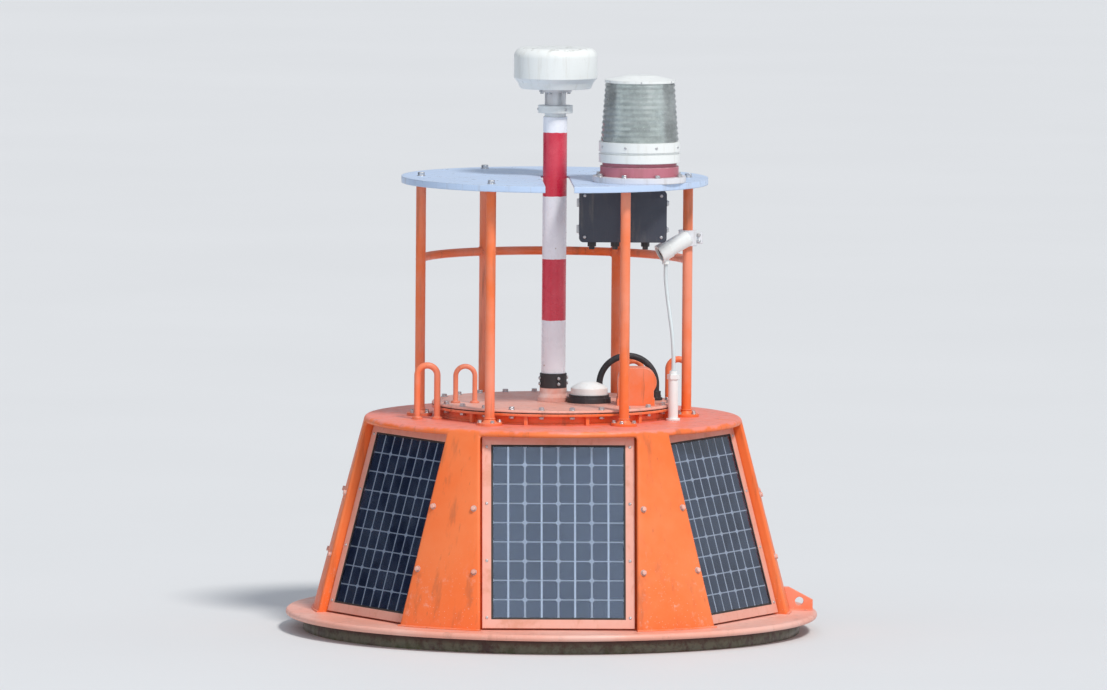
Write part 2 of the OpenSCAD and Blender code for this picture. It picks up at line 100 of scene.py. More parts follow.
cable_data = bpy.data.curves.new("hanging_cable", "CURVE")
cable_data.dimensions = "3D"
cable_data.bevel_depth = CABLE_D / 2 / POINT_RADIUS
cable_data.bevel_resolution = 4
cable_data.use_fill_caps = True
spline = cable_data.splines.new("POLY")
spline.points.add(len(CABLE_POINTS) - 1)
for point, place in zip(spline.points, CABLE_POINTS):
    point.co = (*place, 1)
    point.radius = POINT_RADIUS
hanging_cable = bpy.data.objects.new("hanging_cable", cable_data)
scene.collection.objects.link(hanging_cable)
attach(hanging_cable, "root")
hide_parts("camera_cable")

# %% [markdown]
# Materials could be wired by hand in the shader editor. This small builder does it in code: every
# method adds a node or two and hands back an output socket, so that a recipe reads from top to
# bottom like coats of paint. All patterns start from Object coordinates, which are in metres here,
# so a noise scale of 40 has features about 25 mm wide.

# %% Material builder
class Look:
    """One material while it is being wired. Most methods add nodes and give back an output."""

    def __init__(self, name):
        self.material = bpy.data.materials.new(name)
        self.material.use_nodes = True
        self.tree = self.material.node_tree
        self.tree.nodes.clear()
        self.coord = self.tree.nodes.new("ShaderNodeTexCoord").outputs["Object"]

    def node(self, kind, inputs=(), **settings):
        made = self.tree.nodes.new(kind)
        for key, value in settings.items():
            setattr(made, key, value)
        for key, value in dict(inputs).items():
            self.feed(made.inputs[key], value)
        return made

    def feed(self, socket, value):
        """Links a socket to an output, or sets it to a number or colour."""
        if isinstance(value, bpy.types.NodeSocket):
            self.tree.links.new(value, socket)
        else:
            if socket.type == "RGBA" and len(value) == 3:
                value = (*value, 1)
            socket.default_value = value

    def stretched(self, stretch):
        if stretch == (1, 1, 1):
            return self.coord
        mapping = self.node("ShaderNodeMapping", {"Vector": self.coord, "Scale": stretch})
        return mapping.outputs["Vector"]

    def noise(self, scale, detail=4, rough=0.55, stretch=(1, 1, 1), distort=0.0):
        made = self.node("ShaderNodeTexNoise", {
            "Vector": self.stretched(stretch), "Scale": scale, "Detail": detail,
            "Roughness": rough, "Distortion": distort})
        return made.outputs["Fac"]

    def cells(self, scale, output="Distance"):
        return self.node("ShaderNodeTexVoronoi", {"Vector": self.coord, "Scale": scale}).outputs[output]

    def tones(self, scale):
        """A grey of its own for each cell."""
        return self.node("ShaderNodeRGBToBW", {"Color": self.cells(scale, "Color")}).outputs["Val"]

    def axis(self, letter):
        return self.node("ShaderNodeSeparateXYZ", {"Vector": self.coord}).outputs[letter]

    def ramp(self, value, low, high, to_low=0.0, to_high=1.0):
        """A soft step from one value to another as the input goes from low to high."""
        made = self.node("ShaderNodeMapRange", {
            "Value": value, "From Min": low, "From Max": high, "To Min": to_low, "To Max": to_high},
            interpolation_type="SMOOTHSTEP")
        return made.outputs["Result"]

    def math(self, operation, a, b=0.0):
        return self.node("ShaderNodeMath", {0: a, 1: b}, operation=operation).outputs[0]

    def times(self, a, b):
        return self.math("MULTIPLY", a, b)

    def most(self, a, b):
        return self.math("MAXIMUM", a, b)

    def blend(self, share, a, b):
        return self.node("ShaderNodeMix", {0: share, 6: a, 7: b}, data_type="RGBA").outputs[2]

    def over(self, under, coat, mask, share):
        """A coat that lies on what is under it, as far as the mask goes."""
        return self.blend(self.times(mask, share), under, coat)

    def mixed(self, share, shader_a, shader_b):
        return self.node("ShaderNodeMixShader", {0: share, 1: shader_a, 2: shader_b}).outputs[0]

    def rounded(self, radius):
        """The normal, with its edges rounded."""
        return self.node("ShaderNodeBevel", {"Radius": radius}, samples=4).outputs["Normal"]

    def edges(self, soft):
        """A mask of the edges: where the rounded normal parts from the sharp one."""
        sharp = self.node("ShaderNodeNewGeometry").outputs["Normal"]
        dot = self.node("ShaderNodeVectorMath", {0: soft, 1: sharp}, operation="DOT_PRODUCT")
        return self.ramp(dot.outputs["Value"], 1.0, 0.75)

    def bump(self, height, strength, distance, under=None):
        inputs = {"Height": height, "Strength": strength, "Distance": distance}
        if under is not None:
            inputs["Normal"] = under
        return self.node("ShaderNodeBump", inputs).outputs["Normal"]

    def output(self, shader):
        """Ends the wiring and gives the material."""
        self.node("ShaderNodeOutputMaterial", {"Surface": shader})
        return self.material

    def surface(self, colour, roughness, normal=None, **more):
        """Ends the wiring with the usual shader."""
        inputs = {"Base Color": colour, "Roughness": roughness}
        if normal is not None:
            inputs["Normal"] = normal
        inputs.update({key.replace("_", " "): value for key, value in more.items()})
        return self.output(self.node("ShaderNodeBsdfPrincipled", inputs).outputs["BSDF"])


print("builder ready")

# %% [markdown]
# Paint on a buoy's steel is faded in patches, chalked pale on its edges, streaked downwards, speckled
# with salt near the waterline and lightly dented. An image could hold all that, but every piece would
# have to be unwrapped for it. Noise does it here, so one recipe serves every painted piece. Noise
# that is stretched along Z makes the runs, the Bevel node finds the edges, and three bumps lie on
# each other: dents, the peel of the paint, and flakes.

# %% Paint recipe
# The pale pink for the deck's top is a painted sky sheen.
DECK_TOP_SHEEN = (0.88, 0.25, 0.18)
SALT = (0.86, 0.80, 0.76)
SALT_BAND = (0.36, 0.05)


def paint(name, base, faded, chalk, grime=(0.20, 0.09, 0.05), edge=0.7, streak=0.35, salt=0.5,
          rough=0.42, edge_radius=0.005, sheen_above=None):
    look = Look(name)
    height = look.axis("Z")
    patches = look.ramp(look.noise(2.6, 6, 0.6), 0.38, 0.66)
    mottle = look.noise(38, 5, 0.65)
    colour = look.over(base, faded, patches, 0.8)
    colour = look.blend(look.ramp(mottle, 0.50, 0.75, 0.0, 0.25), colour, faded)
    # Above a ragged height the colour turns to that pale pink: a painted sky sheen on the deck's top.
    if sheen_above:
        ragged = look.math("ADD", height, look.ramp(look.noise(22, 5, 0.6), 0.3, 0.7, -0.006, 0.006))
        above = look.ramp(ragged, sheen_above - 0.004, sheen_above + 0.004)
        colour = look.blend(above, colour, DECK_TOP_SHEEN)
    runs = look.ramp(look.noise(9, 5, 0.6, stretch=(3.2, 3.2, 0.28)), 0.54, 0.74)
    fine_runs = look.ramp(look.noise(26, 4, 0.6, stretch=(3.0, 3.0, 0.22)), 0.60, 0.76)
    colour = look.over(colour, grime, look.most(runs, fine_runs), streak)
    soft = look.rounded(edge_radius)
    broken = look.ramp(look.noise(30, 6, 0.7), 0.34, 0.62)
    worn = look.times(look.times(look.edges(soft), broken), edge)
    colour = look.blend(worn, colour, chalk)
    low_down = look.ramp(height, *SALT_BAND)
    specks = look.ramp(look.cells(120), 0.16, 0.05)
    crust = look.ramp(look.noise(26, 8, 0.75), 0.56, 0.78)
    salted = look.times(look.times(low_down, look.most(specks, crust)), salt)
    colour = look.blend(salted, colour, SALT)
    scuffs = look.ramp(look.noise(7, 4, 0.6, stretch=(5, 5, 0.8), distort=0.3), 0.68, 0.76)
    colour = look.over(colour, chalk, scuffs, 0.22)
    shine = look.ramp(mottle, 0.3, 0.75, rough - 0.10, rough + 0.16)
    shine = look.math("ADD", shine, look.times(look.most(worn, salted), 0.25))
    dents = look.bump(look.noise(7, 2, 0.4), 0.35, 0.0025, soft)
    peel = look.bump(look.noise(190, 3, 0.5), 0.10, 0.0008, dents)
    flaked = look.bump(look.most(worn, salted), 0.30, 0.0006, peel)
    return look.surface(colour, shine, flaked, Specular_IOR_Level=0.42)


print("paint recipe ready")

# %% Paints
ORANGE = (0.90, 0.170, 0.036)
ORANGE_FADED = (0.90, 0.222, 0.070)
CHALK = (0.90, 0.52, 0.42)
# The salmon is worn orange paint, and its paleness is partly a painted sky sheen, for the rim and lid.
SALMON = (0.80, 0.36, 0.27)
SALMON_FADED = (0.84, 0.50, 0.42)
PALE = (0.86, 0.76, 0.72)
WHITE = (0.78, 0.79, 0.80)
WHITE_FADED = (0.70, 0.70, 0.76)
# The plate is white paint; its blue tint, on its chalked edges too, is a painted reflection of the sky.
PLATE, PLATE_FADED = (0.54, 0.68, 0.90), (0.51, 0.63, 0.84)
ROSE, ROSE_FADED = (0.44, 0.11, 0.15), (0.54, 0.20, 0.25)
FITTING_FADED = (0.86, 0.33, 0.22)
# The height above which the deck's top gets its painted sky sheen.
DECK_SHEEN_Z = 0.600

orange_paint = paint("orange_paint", ORANGE, ORANGE_FADED, CHALK, sheen_above=DECK_SHEEN_Z)
fitting_paint = paint("fitting_paint", ORANGE, FITTING_FADED, CHALK, streak=0.45, edge=0.9,
                      edge_radius=0.003)
# Worn orange with a painted sky sheen, for the rim flange and the hatch lid.
salmon_sheen_paint = paint("salmon_sheen_paint", SALMON, SALMON_FADED, PALE, streak=0.30, edge=0.8, salt=0.4)
white_paint = paint("white_paint", WHITE, WHITE_FADED, (0.86, 0.86, 0.88),
                    grime=(0.34, 0.26, 0.20), streak=0.28, rough=0.36)
# White paint with a painted sky reflection: the blue tint.
sky_tinted_plate_paint = paint("sky_tinted_plate_paint", PLATE, PLATE_FADED, (0.74, 0.82, 0.94),
                    grime=(0.34, 0.28, 0.24), streak=0.24, rough=0.36)
rose_paint = paint("rose_paint", ROSE, ROSE_FADED, (0.80, 0.60, 0.62), streak=0.30)
print("paints", len(bpy.data.materials))

# %% [markdown]
# The mast is one tube with painted bands, so that it is seen from far off. Rings of mesh could carry
# the colours, but they would leave seams that the real tube lacks. Here one material reads the
# height, and a little noise lets each border wander by a millimetre, as a masked edge does. The red
# lies on the white, so it stands up as a thin step in the bump.

# %% Banded mast
MAST_RED = (0.66, 0.026, 0.062)
MAST_RED_FADED = (0.74, 0.068, 0.106)
MAST_WHITE = (0.92, 0.93, 0.98)
MAST_WHITE_FADED = (0.86, 0.87, 0.95)
MAST_GRIME = (0.34, 0.22, 0.20)
CHIPPED = (0.42, 0.30, 0.24)
BANDS = [(0.876, 1.049), (1.226, 1.406)]


def mast_paint():
    look = Look("mast_paint")
    wobble = look.ramp(look.noise(60, 3, 0.5), 0.0, 1.0, -0.0015, 0.0015)
    height = look.math("ADD", look.axis("Z"), wobble)
    red = 0.0
    for low, high in BANDS:
        inside = look.times(look.ramp(height, low - 0.0008, low + 0.0008),
                            look.ramp(height, high + 0.0008, high - 0.0008))
        red = look.most(inside, red)
    fade = look.ramp(look.noise(9, 5, 0.6), 0.40, 0.70)
    red_paint = look.blend(fade, MAST_RED, MAST_RED_FADED)
    white = look.blend(fade, MAST_WHITE, MAST_WHITE_FADED)
    colour = look.blend(red, white, red_paint)
    runs = look.ramp(look.noise(30, 5, 0.6, stretch=(2.6, 2.6, 0.20)), 0.56, 0.76)
    colour = look.over(colour, MAST_GRIME, runs, 0.24)
    chips = look.ramp(look.cells(34), 0.13, 0.09)
    few = look.ramp(look.noise(11, 2, 0.5), 0.56, 0.62)
    chips = look.times(chips, few)
    colour = look.over(colour, CHIPPED, chips, 0.8)
    shine = look.ramp(look.noise(50, 4, 0.6), 0.3, 0.7, 0.22, 0.42)
    soft = look.rounded(0.003)
    normal = look.bump(look.noise(150, 3, 0.5), 0.08, 0.0008, soft)
    steps = look.math("ADD", look.times(chips, -1.0), look.times(red, 0.4))
    normal = look.bump(steps, 0.4, 0.0004, normal)
    return look.surface(colour, shine, normal, Coat_Weight=0.25, Coat_Roughness=0.20)


banded_paint = mast_paint()
print("mast bands", len(BANDS))

# %% [markdown]
# Below the rim the float wears dark bottom paint. Growth needs light, so it is green near the
# waterline and thins out downwards, and a line of scum marks the waterline. Rings of other
# materials could show that, with hard borders. Masks on the height do it here, because they fade
# and stay level however the surface under them curves.

# %% Bottom paint
ANTIFOULING, ANTIFOULING_WORN = (0.050, 0.022, 0.020), (0.105, 0.045, 0.036)
EDGE_RUST = (0.20, 0.10, 0.07)
SLIME = (0.075, 0.088, 0.028)
SCUM = (0.16, 0.15, 0.10)


def bottom_paint():
    look = Look("bottom_paint")
    height = look.axis("Z")
    body = look.blend(look.noise(6, 6, 0.6), ANTIFOULING, ANTIFOULING_WORN)
    slime = look.ramp(look.noise(12, 7, 0.65, stretch=(1, 1, 0.5)), 0.36, 0.64)
    depth = look.times(look.ramp(height, -0.75, -0.02), look.ramp(height, 0.030, 0.004))
    body = look.over(body, SLIME, slime, depth)
    scum = look.times(look.ramp(height, 0.036, 0.018), look.ramp(height, -0.03, 0.008))
    scum = look.times(scum, look.ramp(look.noise(40, 6, 0.7), 0.34, 0.60))
    body = look.blend(scum, body, SCUM)
    soft = look.rounded(0.006)
    body = look.over(body, EDGE_RUST, look.edges(soft), 0.5)
    wet = look.ramp(height, 0.030, 0.002)
    shine = look.ramp(wet, 0.0, 1.0, 0.66, 0.30)
    lumps = look.noise(24, 6, 0.65)
    lumps = look.math("ADD", lumps, look.times(look.ramp(look.cells(60), 0.22, 0.04), 0.5))
    normal = look.bump(lumps, 0.45, 0.004, soft)
    return look.surface(body, shine, normal)


hull_paint = bottom_paint()
print("bottom paint ready")

# %% [markdown]
# Four metals show: weathered alloy with white oxide, galvanised steel with its spangle, rusty cast
# iron and pitted zinc. Each could have its own recipe, but they age alike: stains in blots and
# drips, worn edges and pits. So one recipe has a few knobs, and it turns less metallic and rougher
# where dirt covers it.

# %% Bare metals
SPANGLE = (0.80, 0.82, 0.84)


def bare_metal(name, colour_a, colour_b, stain, metallic, rough, spangle=0.0, pits=0.3, stain_at=0.60):
    look = Look(name)
    body = look.blend(look.noise(18, 6, 0.6), colour_a, colour_b)
    if spangle:
        body = look.over(body, SPANGLE, look.tones(70), spangle)
    blots = look.ramp(look.noise(14, 7, 0.7), stain_at - 0.08, stain_at + 0.10)
    drips = look.ramp(look.noise(28, 5, 0.6, stretch=(2.5, 2.5, 0.25)), stain_at - 0.02, stain_at + 0.14)
    dirt = look.most(blots, drips)
    body = look.over(body, stain, dirt, 0.75)
    soft = look.rounded(0.002)
    body = look.over(body, colour_b, look.edges(soft), 0.45)
    shine = look.ramp(look.noise(60, 4, 0.6), 0.3, 0.7, rough - 0.08, rough + 0.10)
    shine = look.math("ADD", shine, look.times(dirt, 0.25))
    metal = look.ramp(dirt, 0.0, 1.0, metallic, metallic * 0.3)
    holes = look.times(look.ramp(look.cells(230), 0.30, 0.05), look.ramp(look.noise(40, 3), 0.45, 0.60))
    normal = look.bump(look.noise(120, 4, 0.6), 0.12, 0.0008, soft)
    normal = look.bump(look.times(holes, -1.0), pits, 0.0008, normal)
    return look.surface(body, shine, normal, Metallic=metal)


alloy = bare_metal("weathered_alloy", (0.60, 0.60, 0.62), (0.74, 0.73, 0.74), (0.80, 0.78, 0.76),
                   metallic=0.55, rough=0.42, pits=0.15)
frame_alloy = bare_metal("frame_alloy", (0.76, 0.33, 0.24), (0.80, 0.45, 0.37), (0.66, 0.30, 0.20),
                         metallic=0.10, rough=0.45, pits=0.12, stain_at=0.58)
stainless = bare_metal("stainless_bolt", (0.52, 0.52, 0.53), (0.66, 0.66, 0.67), (0.40, 0.22, 0.12),
                       metallic=0.85, rough=0.34, pits=0.10, stain_at=0.66)
galvanised = bare_metal("galvanised_steel", (0.30, 0.31, 0.32), (0.44, 0.45, 0.46), (0.58, 0.57, 0.54),
                        metallic=0.65, rough=0.46, spangle=0.35)
cast_iron = bare_metal("cast_iron", (0.050, 0.036, 0.030), (0.115, 0.075, 0.055), (0.26, 0.095, 0.040),
                       metallic=0.25, rough=0.72, pits=0.7, stain_at=0.50)
zinc = bare_metal("cast_zinc", (0.42, 0.43, 0.44), (0.58, 0.59, 0.60), (0.72, 0.72, 0.70),
                  metallic=0.45, rough=0.62, pits=0.9, stain_at=0.50)
print("metals ready")

# %% [markdown]
# Moulded housings have yellowed and caught dirt, black fittings are greyed by the sun, and cables
# have soft sheaths. A plain glossy colour would look like a toy, so each plastic gets runs of dirt,
# specks, paler edges and a fine moulding grain. The antenna's top also has what birds leave there.

# %% Plastics and rubber
DROPPINGS = (0.30, 0.29, 0.24)
ANTENNA_TOP = 1.645


def plastic(name, body_a, body_b, dirt_colour, dirt, rough=0.35, grain=220, fouled_at=None):
    look = Look(name)
    body = look.blend(look.noise(6, 5, 0.55), body_a, body_b)
    runs = look.ramp(look.noise(22, 6, 0.65, stretch=(2.4, 2.4, 0.35)), 0.50, 0.74)
    body = look.over(body, dirt_colour, runs, dirt)
    soft = look.rounded(0.003)
    body = look.over(body, body_b, look.edges(soft), 0.35)
    if fouled_at:
        high_up = look.ramp(look.axis("Z"), fouled_at - 0.010, fouled_at)
        blots = look.ramp(look.noise(34, 6, 0.7, distort=0.8), 0.55, 0.60)
        body = look.over(body, DROPPINGS, look.times(high_up, blots), 0.5)
    specks = look.ramp(look.cells(160), 0.14, 0.06)
    body = look.over(body, dirt_colour, specks, 0.25)
    shine = look.ramp(look.noise(45, 5, 0.6), 0.3, 0.7, rough - 0.08, rough + 0.14)
    normal = look.bump(look.noise(grain, 3, 0.5), 0.09, 0.0006, soft)
    return look.surface(body, shine, normal)


white_housing = plastic("white_housing", (0.80, 0.82, 0.80), (0.86, 0.88, 0.87), (0.48, 0.44, 0.34),
                        dirt=0.22, fouled_at=ANTENNA_TOP)
black_plastic = plastic("black_plastic", (0.020, 0.020, 0.023), (0.050, 0.050, 0.056), (0.20, 0.18, 0.16),
                        dirt=0.40, rough=0.50)
black_rubber = plastic("black_rubber", (0.016, 0.016, 0.018), (0.045, 0.045, 0.050), (0.16, 0.15, 0.14),
                       dirt=0.35, rough=0.58, grain=320)
# The cable's sheath is white; its blue-grey is painted shade.
sheath_with_painted_shade = plastic("sheath_with_painted_shade", (0.56, 0.64, 0.66), (0.68, 0.74, 0.75), (0.36, 0.34, 0.30),
                      dirt=0.35, rough=0.45, grain=300)
box_enamel = plastic("box_enamel", (0.030, 0.034, 0.052), (0.055, 0.060, 0.082), (0.16, 0.14, 0.12),
                     dirt=0.45, rough=0.40)
lamp_grey = plastic("lamp_grey", (0.22, 0.25, 0.24), (0.32, 0.35, 0.33), (0.12, 0.12, 0.11),
                    dirt=0.30, rough=0.45)
gasket_rubber = plastic("gasket_rubber", (0.014, 0.013, 0.013), (0.040, 0.034, 0.032), (0.12, 0.08, 0.06),
                        dirt=0.40, rough=0.62)
print("plastics ready")

# %% [markdown]
# The mast stands in a painted pedestal with a black rubber sleeve over its upper half. A sleeve of
# its own could be slipped over it, but both are one turned piece in the frame. So one material
# changes from paint to rubber at the sleeve's lower edge, and a step in the bump makes it stand out.

# %% Mast foot
SLEEVE_Z = 0.685
FOOT_SALMON, FOOT_FADED = (0.82, 0.36, 0.27), (0.84, 0.60, 0.54)
SLEEVE_BLACK, SLEEVE_GREY = (0.018, 0.018, 0.020), (0.050, 0.048, 0.052)
FOOT_GRIME = (0.22, 0.14, 0.11)


def foot_paint():
    look = Look("foot_paint")
    wobble = look.ramp(look.noise(40, 3, 0.5), 0.0, 1.0, -0.001, 0.001)
    sleeve = look.ramp(look.math("ADD", look.axis("Z"), wobble), SLEEVE_Z - 0.001, SLEEVE_Z + 0.001)
    faded = look.ramp(look.noise(12, 6, 0.6), 0.35, 0.65)
    pale = look.blend(faded, FOOT_SALMON, FOOT_FADED)
    black = look.blend(look.noise(9, 5, 0.55), SLEEVE_BLACK, SLEEVE_GREY)
    runs = look.ramp(look.noise(28, 5, 0.6, stretch=(2.6, 2.6, 0.3)), 0.54, 0.74)
    body = look.blend(sleeve, pale, black)
    body = look.over(body, FOOT_GRIME, runs, 0.35)
    soft = look.rounded(0.003)
    grain = look.noise(160, 3, 0.5)
    normal = look.bump(look.math("ADD", grain, look.times(sleeve, 2.0)), 0.20, 0.0008, soft)
    shine = look.ramp(look.noise(45, 5, 0.6), 0.3, 0.7, 0.40, 0.60)
    return look.surface(body, shine, normal)


foot_finish = foot_paint()
print("sleeve from", SLEEVE_Z)

# %% [markdown]
# The clear pieces are the panels' glass, the ribbed lens and the camera's window. Glass that bends
# light could be traced, but these walls are thin and would only add noise. So each mixes a
# transparent shader with a mirror that strengthens at a slant, under a film of salt. The lens is
# cloudy, so it also glows a little from behind.

# %% Clear pieces
def clear(name, tint, film, film_share, rough=0.05, haze=0.0):
    look = Look(name)
    through = look.node("ShaderNodeBsdfTransparent", {"Color": tint}).outputs[0]
    dust = look.ramp(look.noise(9, 7, 0.7), 0.36, 0.70)
    spots = look.ramp(look.cells(150), 0.20, 0.08)
    share = look.times(look.most(dust, spots), film_share)
    share = look.math("ADD", share, haze)
    coating = look.node("ShaderNodeBsdfDiffuse", {"Color": film}).outputs[0]
    glow = look.node("ShaderNodeBsdfTranslucent", {"Color": film}).outputs[0]
    coated = look.mixed(0.5 if haze else 0.0, coating, glow)
    body = look.mixed(share, through, coated)
    shine = look.ramp(dust, 0.0, 1.0, rough, rough + 0.14)
    ripple = look.bump(look.noise(30, 2, 0.4), 0.05, 0.001)
    mirror = look.node("ShaderNodeBsdfAnisotropic", {
        "Color": (1, 1, 1), "Roughness": shine, "Normal": ripple}).outputs[0]
    fresnel = look.node("ShaderNodeFresnel", {"IOR": 1.48, "Normal": ripple}).outputs[0]
    return look.output(look.mixed(fresnel, body, mirror))


panel_glass = clear("panel_glass", (0.95, 0.97, 1.0), (0.38, 0.50, 0.70), 0.07)
lens_plastic = clear("lens_plastic", (0.97, 1.0, 0.98), (0.86, 0.92, 0.92), 0.28, rough=0.12,
                     haze=0.30)
camera_glass = clear("camera_glass", (0.5, 0.55, 0.6), (0.5, 0.5, 0.5), 0.05)
print("clear pieces ready")

# %% [markdown]
# Under the glass lie dark blue cells, pale ribbons that carry the current, and a pale sheet behind
# them. The cells' crystals come from Voronoi cells of differing tone, and their fine silver fingers
# from a wave along Z. Lines that fine could be mesh, but under 3 mm apart a pattern is enough.

# %% Cells, sheet and ribbon
SILICON, SILICON_BRIGHT, SILICON_BLUE = (0.008, 0.016, 0.052), (0.024, 0.042, 0.125), (0.034, 0.048, 0.12)
SILVER = (0.30, 0.34, 0.44)


def silicon():
    look = Look("solar_cell")
    body = look.over(SILICON, SILICON_BRIGHT, look.tones(150), 0.6)
    body = look.over(body, SILICON_BLUE, look.tones(13), 0.35)
    fingers = look.node("ShaderNodeTexWave", {
        "Vector": look.coord, "Scale": 120.0, "Distortion": 0.0}, bands_direction="Z")
    body = look.blend(look.ramp(fingers.outputs["Fac"], 0.80, 0.95, 0.0, 0.22), body, SILVER)
    normal = look.bump(look.noise(300, 2), 0.05, 0.0004)
    return look.surface(body, 0.32, normal, Metallic=0.25)


def back_sheet():
    look = Look("back_sheet")
    body = look.blend(look.noise(20, 5, 0.6), (0.70, 0.76, 0.88), (0.58, 0.63, 0.74))
    stains = look.ramp(look.noise(8, 6, 0.7), 0.55, 0.72)
    body = look.over(body, (0.42, 0.36, 0.26), stains, 0.3)
    normal = look.bump(look.noise(200, 3), 0.1, 0.0004)
    return look.surface(body, 0.6, normal)


def tinned_ribbon():
    look = Look("tinned_ribbon")
    body = look.blend(look.noise(90, 4, 0.6), (0.66, 0.72, 0.84), (0.80, 0.84, 0.94))
    normal = look.bump(look.noise(260, 3), 0.2, 0.0003)
    return look.surface(body, 0.45, normal, Metallic=0.2)


cell_face = silicon()
sheet_face = back_sheet()
ribbon_face = tinned_ribbon()
print("materials", len(bpy.data.materials))

# %% [markdown]
# Now each solid of the frame gets its finish. Its material could be set piece by piece. A table with
# one line for each finish shows at a glance what is made of what, and the last line here names any
# solid that was forgotten.

# %% Finishes of the frame
NODE_LOOKS = {
    orange_paint: ["float_upper"],
    fitting_paint: ["towing_lug", "hatch_neck", "lid_handle_left", "lid_handle_right", "lifting_bar_left",
                    "lifting_bar_right", "cable_box", "mid_rail", *[f"post_{i}" for i in range(1, 7)]],
    # The pale salmon of rim and lid is partly a painted sky sheen.
    salmon_sheen_paint: ["rim_flange", "hatch_lid"],
    rose_paint: ["lantern_neck"],
    # The top plate's blue is a painted sky reflection on white paint.
    sky_tinted_plate_paint: ["top_plate"],
    white_paint: ["lantern_flange", "camera_clamp"],
    banded_paint: ["mast_tube"],
    hull_paint: ["float_lower", "tail_tube"],
    frame_alloy: [f"panel_frame_{i}" for i in range(1, 7)],
    alloy: ["antenna_neck", "box_rails"],
    panel_glass: [f"panel_glass_{i}" for i in range(1, 7)],
    white_housing: ["vent_cap", "mast_collar", "antenna_dome", "lantern_ring", "lantern_cap", "camera",
                    "cable_gland"],
    lens_plastic: ["lantern_lens"],
    lamp_grey: ["lantern_core"],
    box_enamel: ["control_box"],
    foot_finish: ["mast_foot"],
    black_plastic: ["vent_base", "box_glands"],
    black_rubber: ["cable_loop"],
    gasket_rubber: ["hatch_gasket"],
    sheath_with_painted_shade: ["camera_cable"],
    cast_iron: ["ballast_discs"],
    zinc: ["anodes"],
    galvanised: ["swivel_yoke", "mooring_swivel", "shackle_bow", "shackle_pin"],
}
given = set()
for material, names in NODE_LOOKS.items():
    for node_name in names:
        mesh = nodes[node_name].data
        mesh.materials.clear()
        mesh.materials.append(material)
        given.add(node_name)
# The hanging cable's blue-grey is painted shade on a white sheath.
hanging_cable.data.materials.append(sheath_with_painted_shade)
print("nodes without a look:", sorted(set(nodes) - given))

# %% [markdown]
# The added pieces are modelled as by hand: a primitive is placed, shaped in edit mode and finished
# with modifiers. Operators act on what is selected, so everything is deselected first, and faces are
# then picked by their place or normal. A finished piece ends at the origin with its place in its
# mesh, smooth but for its sharp edges, and rides on a body.

# %% Select and settle
def object_mode():
    bpy.ops.object.mode_set(mode="OBJECT")


def edit_all():
    bpy.ops.object.mode_set(mode="EDIT")
    bpy.ops.mesh.select_all(action="SELECT")


def clear_selection():
    if bpy.context.object and bpy.context.object.mode != "OBJECT":
        object_mode()
    bpy.ops.object.select_all(action="DESELECT")


def pick_faces(piece, test):
    """Goes to edit mode with the faces selected that pass the test."""
    object_mode()
    mesh = piece.data
    for vertex in mesh.vertices:
        vertex.select = False
    for edge in mesh.edges:
        edge.select = False
    for face in mesh.polygons:
        face.select = test(face)
    bpy.ops.object.mode_set(mode="EDIT")
    bpy.ops.mesh.select_mode(type="FACE")


def use_modifier(piece, kind, **settings):
    """Adds a modifier, sets it and applies it."""
    modifier = piece.modifiers.new(kind.lower(), kind)
    for key, value in settings.items():
        setattr(modifier, key, value)
    bpy.context.view_layer.objects.active = piece
    bpy.ops.object.modifier_apply(modifier=modifier.name)
    return piece


def settle(piece, name, material, body="root"):
    """Puts the place into the mesh, and gives the piece its name, finish and body."""
    clear_selection()
    bpy.context.view_layer.update()
    piece.data.transform(piece.matrix_world)
    piece.data.update()
    piece.matrix_world = Matrix.Identity(4)
    piece.name = piece.data.name = name
    if material is not None:
        piece.data.materials.clear()
        piece.data.materials.append(material)
    piece.select_set(True)
    bpy.context.view_layer.objects.active = piece
    bpy.ops.object.shade_smooth_by_angle(angle=math.radians(35))
    piece.select_set(False)
    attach(piece, body)
    return piece


print("select and settle ready")

# %% [markdown]
# What repeats is modelled once at the origin, standing on z = 0. Its places are matrices, and each
# gets a copy with its own mesh. An array modifier could repeat it too, but the places here lie on
# rings and slopes, where a matrix says plainly where each copy goes.

# %% Copy and place
def join(pieces):
    clear_selection()
    for piece in pieces:
        piece.select_set(True)
    bpy.context.view_layer.objects.active = pieces[0]
    bpy.ops.object.join()
    return bpy.context.object


def twin_of(model, place):
    """A copy with its own mesh, at its place."""
    twin = model.copy()
    twin.data = model.data.copy()
    scene.collection.objects.link(twin)
    twin.matrix_world = place @ model.matrix_world
    return twin


def spread(model, places):
    """One piece of copies of the model, which itself goes."""
    made = [twin_of(model, place) for place in places]
    bpy.data.objects.remove(model)
    bpy.context.view_layer.update()
    return join(made)


def move(x=0.0, y=0.0, z=0.0):
    return Matrix.Translation((x, y, z))


def spin(degrees, axis="Z"):
    return Matrix.Rotation(math.radians(degrees), 4, axis)


def turned(places, degrees):
    """The same places, each turned about its own X axis."""
    return [place @ spin(degrees, "X") for place in places]


def round_place(radius, azimuth, z, x=0.0, y=0.0):
    """A place on a ring: its own -Y axis points outwards."""
    return move(x, y, 0) @ spin(azimuth) @ move(0, -radius, z)


def ring(count, radius, first, z, x=0.0, y=0.0):
    """Places evenly round a ring, from the first azimuth on."""
    return [round_place(radius, first + i * 360 / count, z, x, y) for i in range(count)]


print("copy and place ready")

# %% [markdown]
# The upper float is a smooth cone. Each panel lies in a pocket that is sunk into it, and the deck
# reaches over the pockets as a ledge. Boxes could cut the pockets out of a cone, but a bevel
# struggles with the slivers that such a cut leaves. A level cut has the same corners at every
# height, so the shell is raised from one ring instead: a disc is extruded upwards level by level,
# and its points are then put on the outline of their level. A bevel rounds the lips.

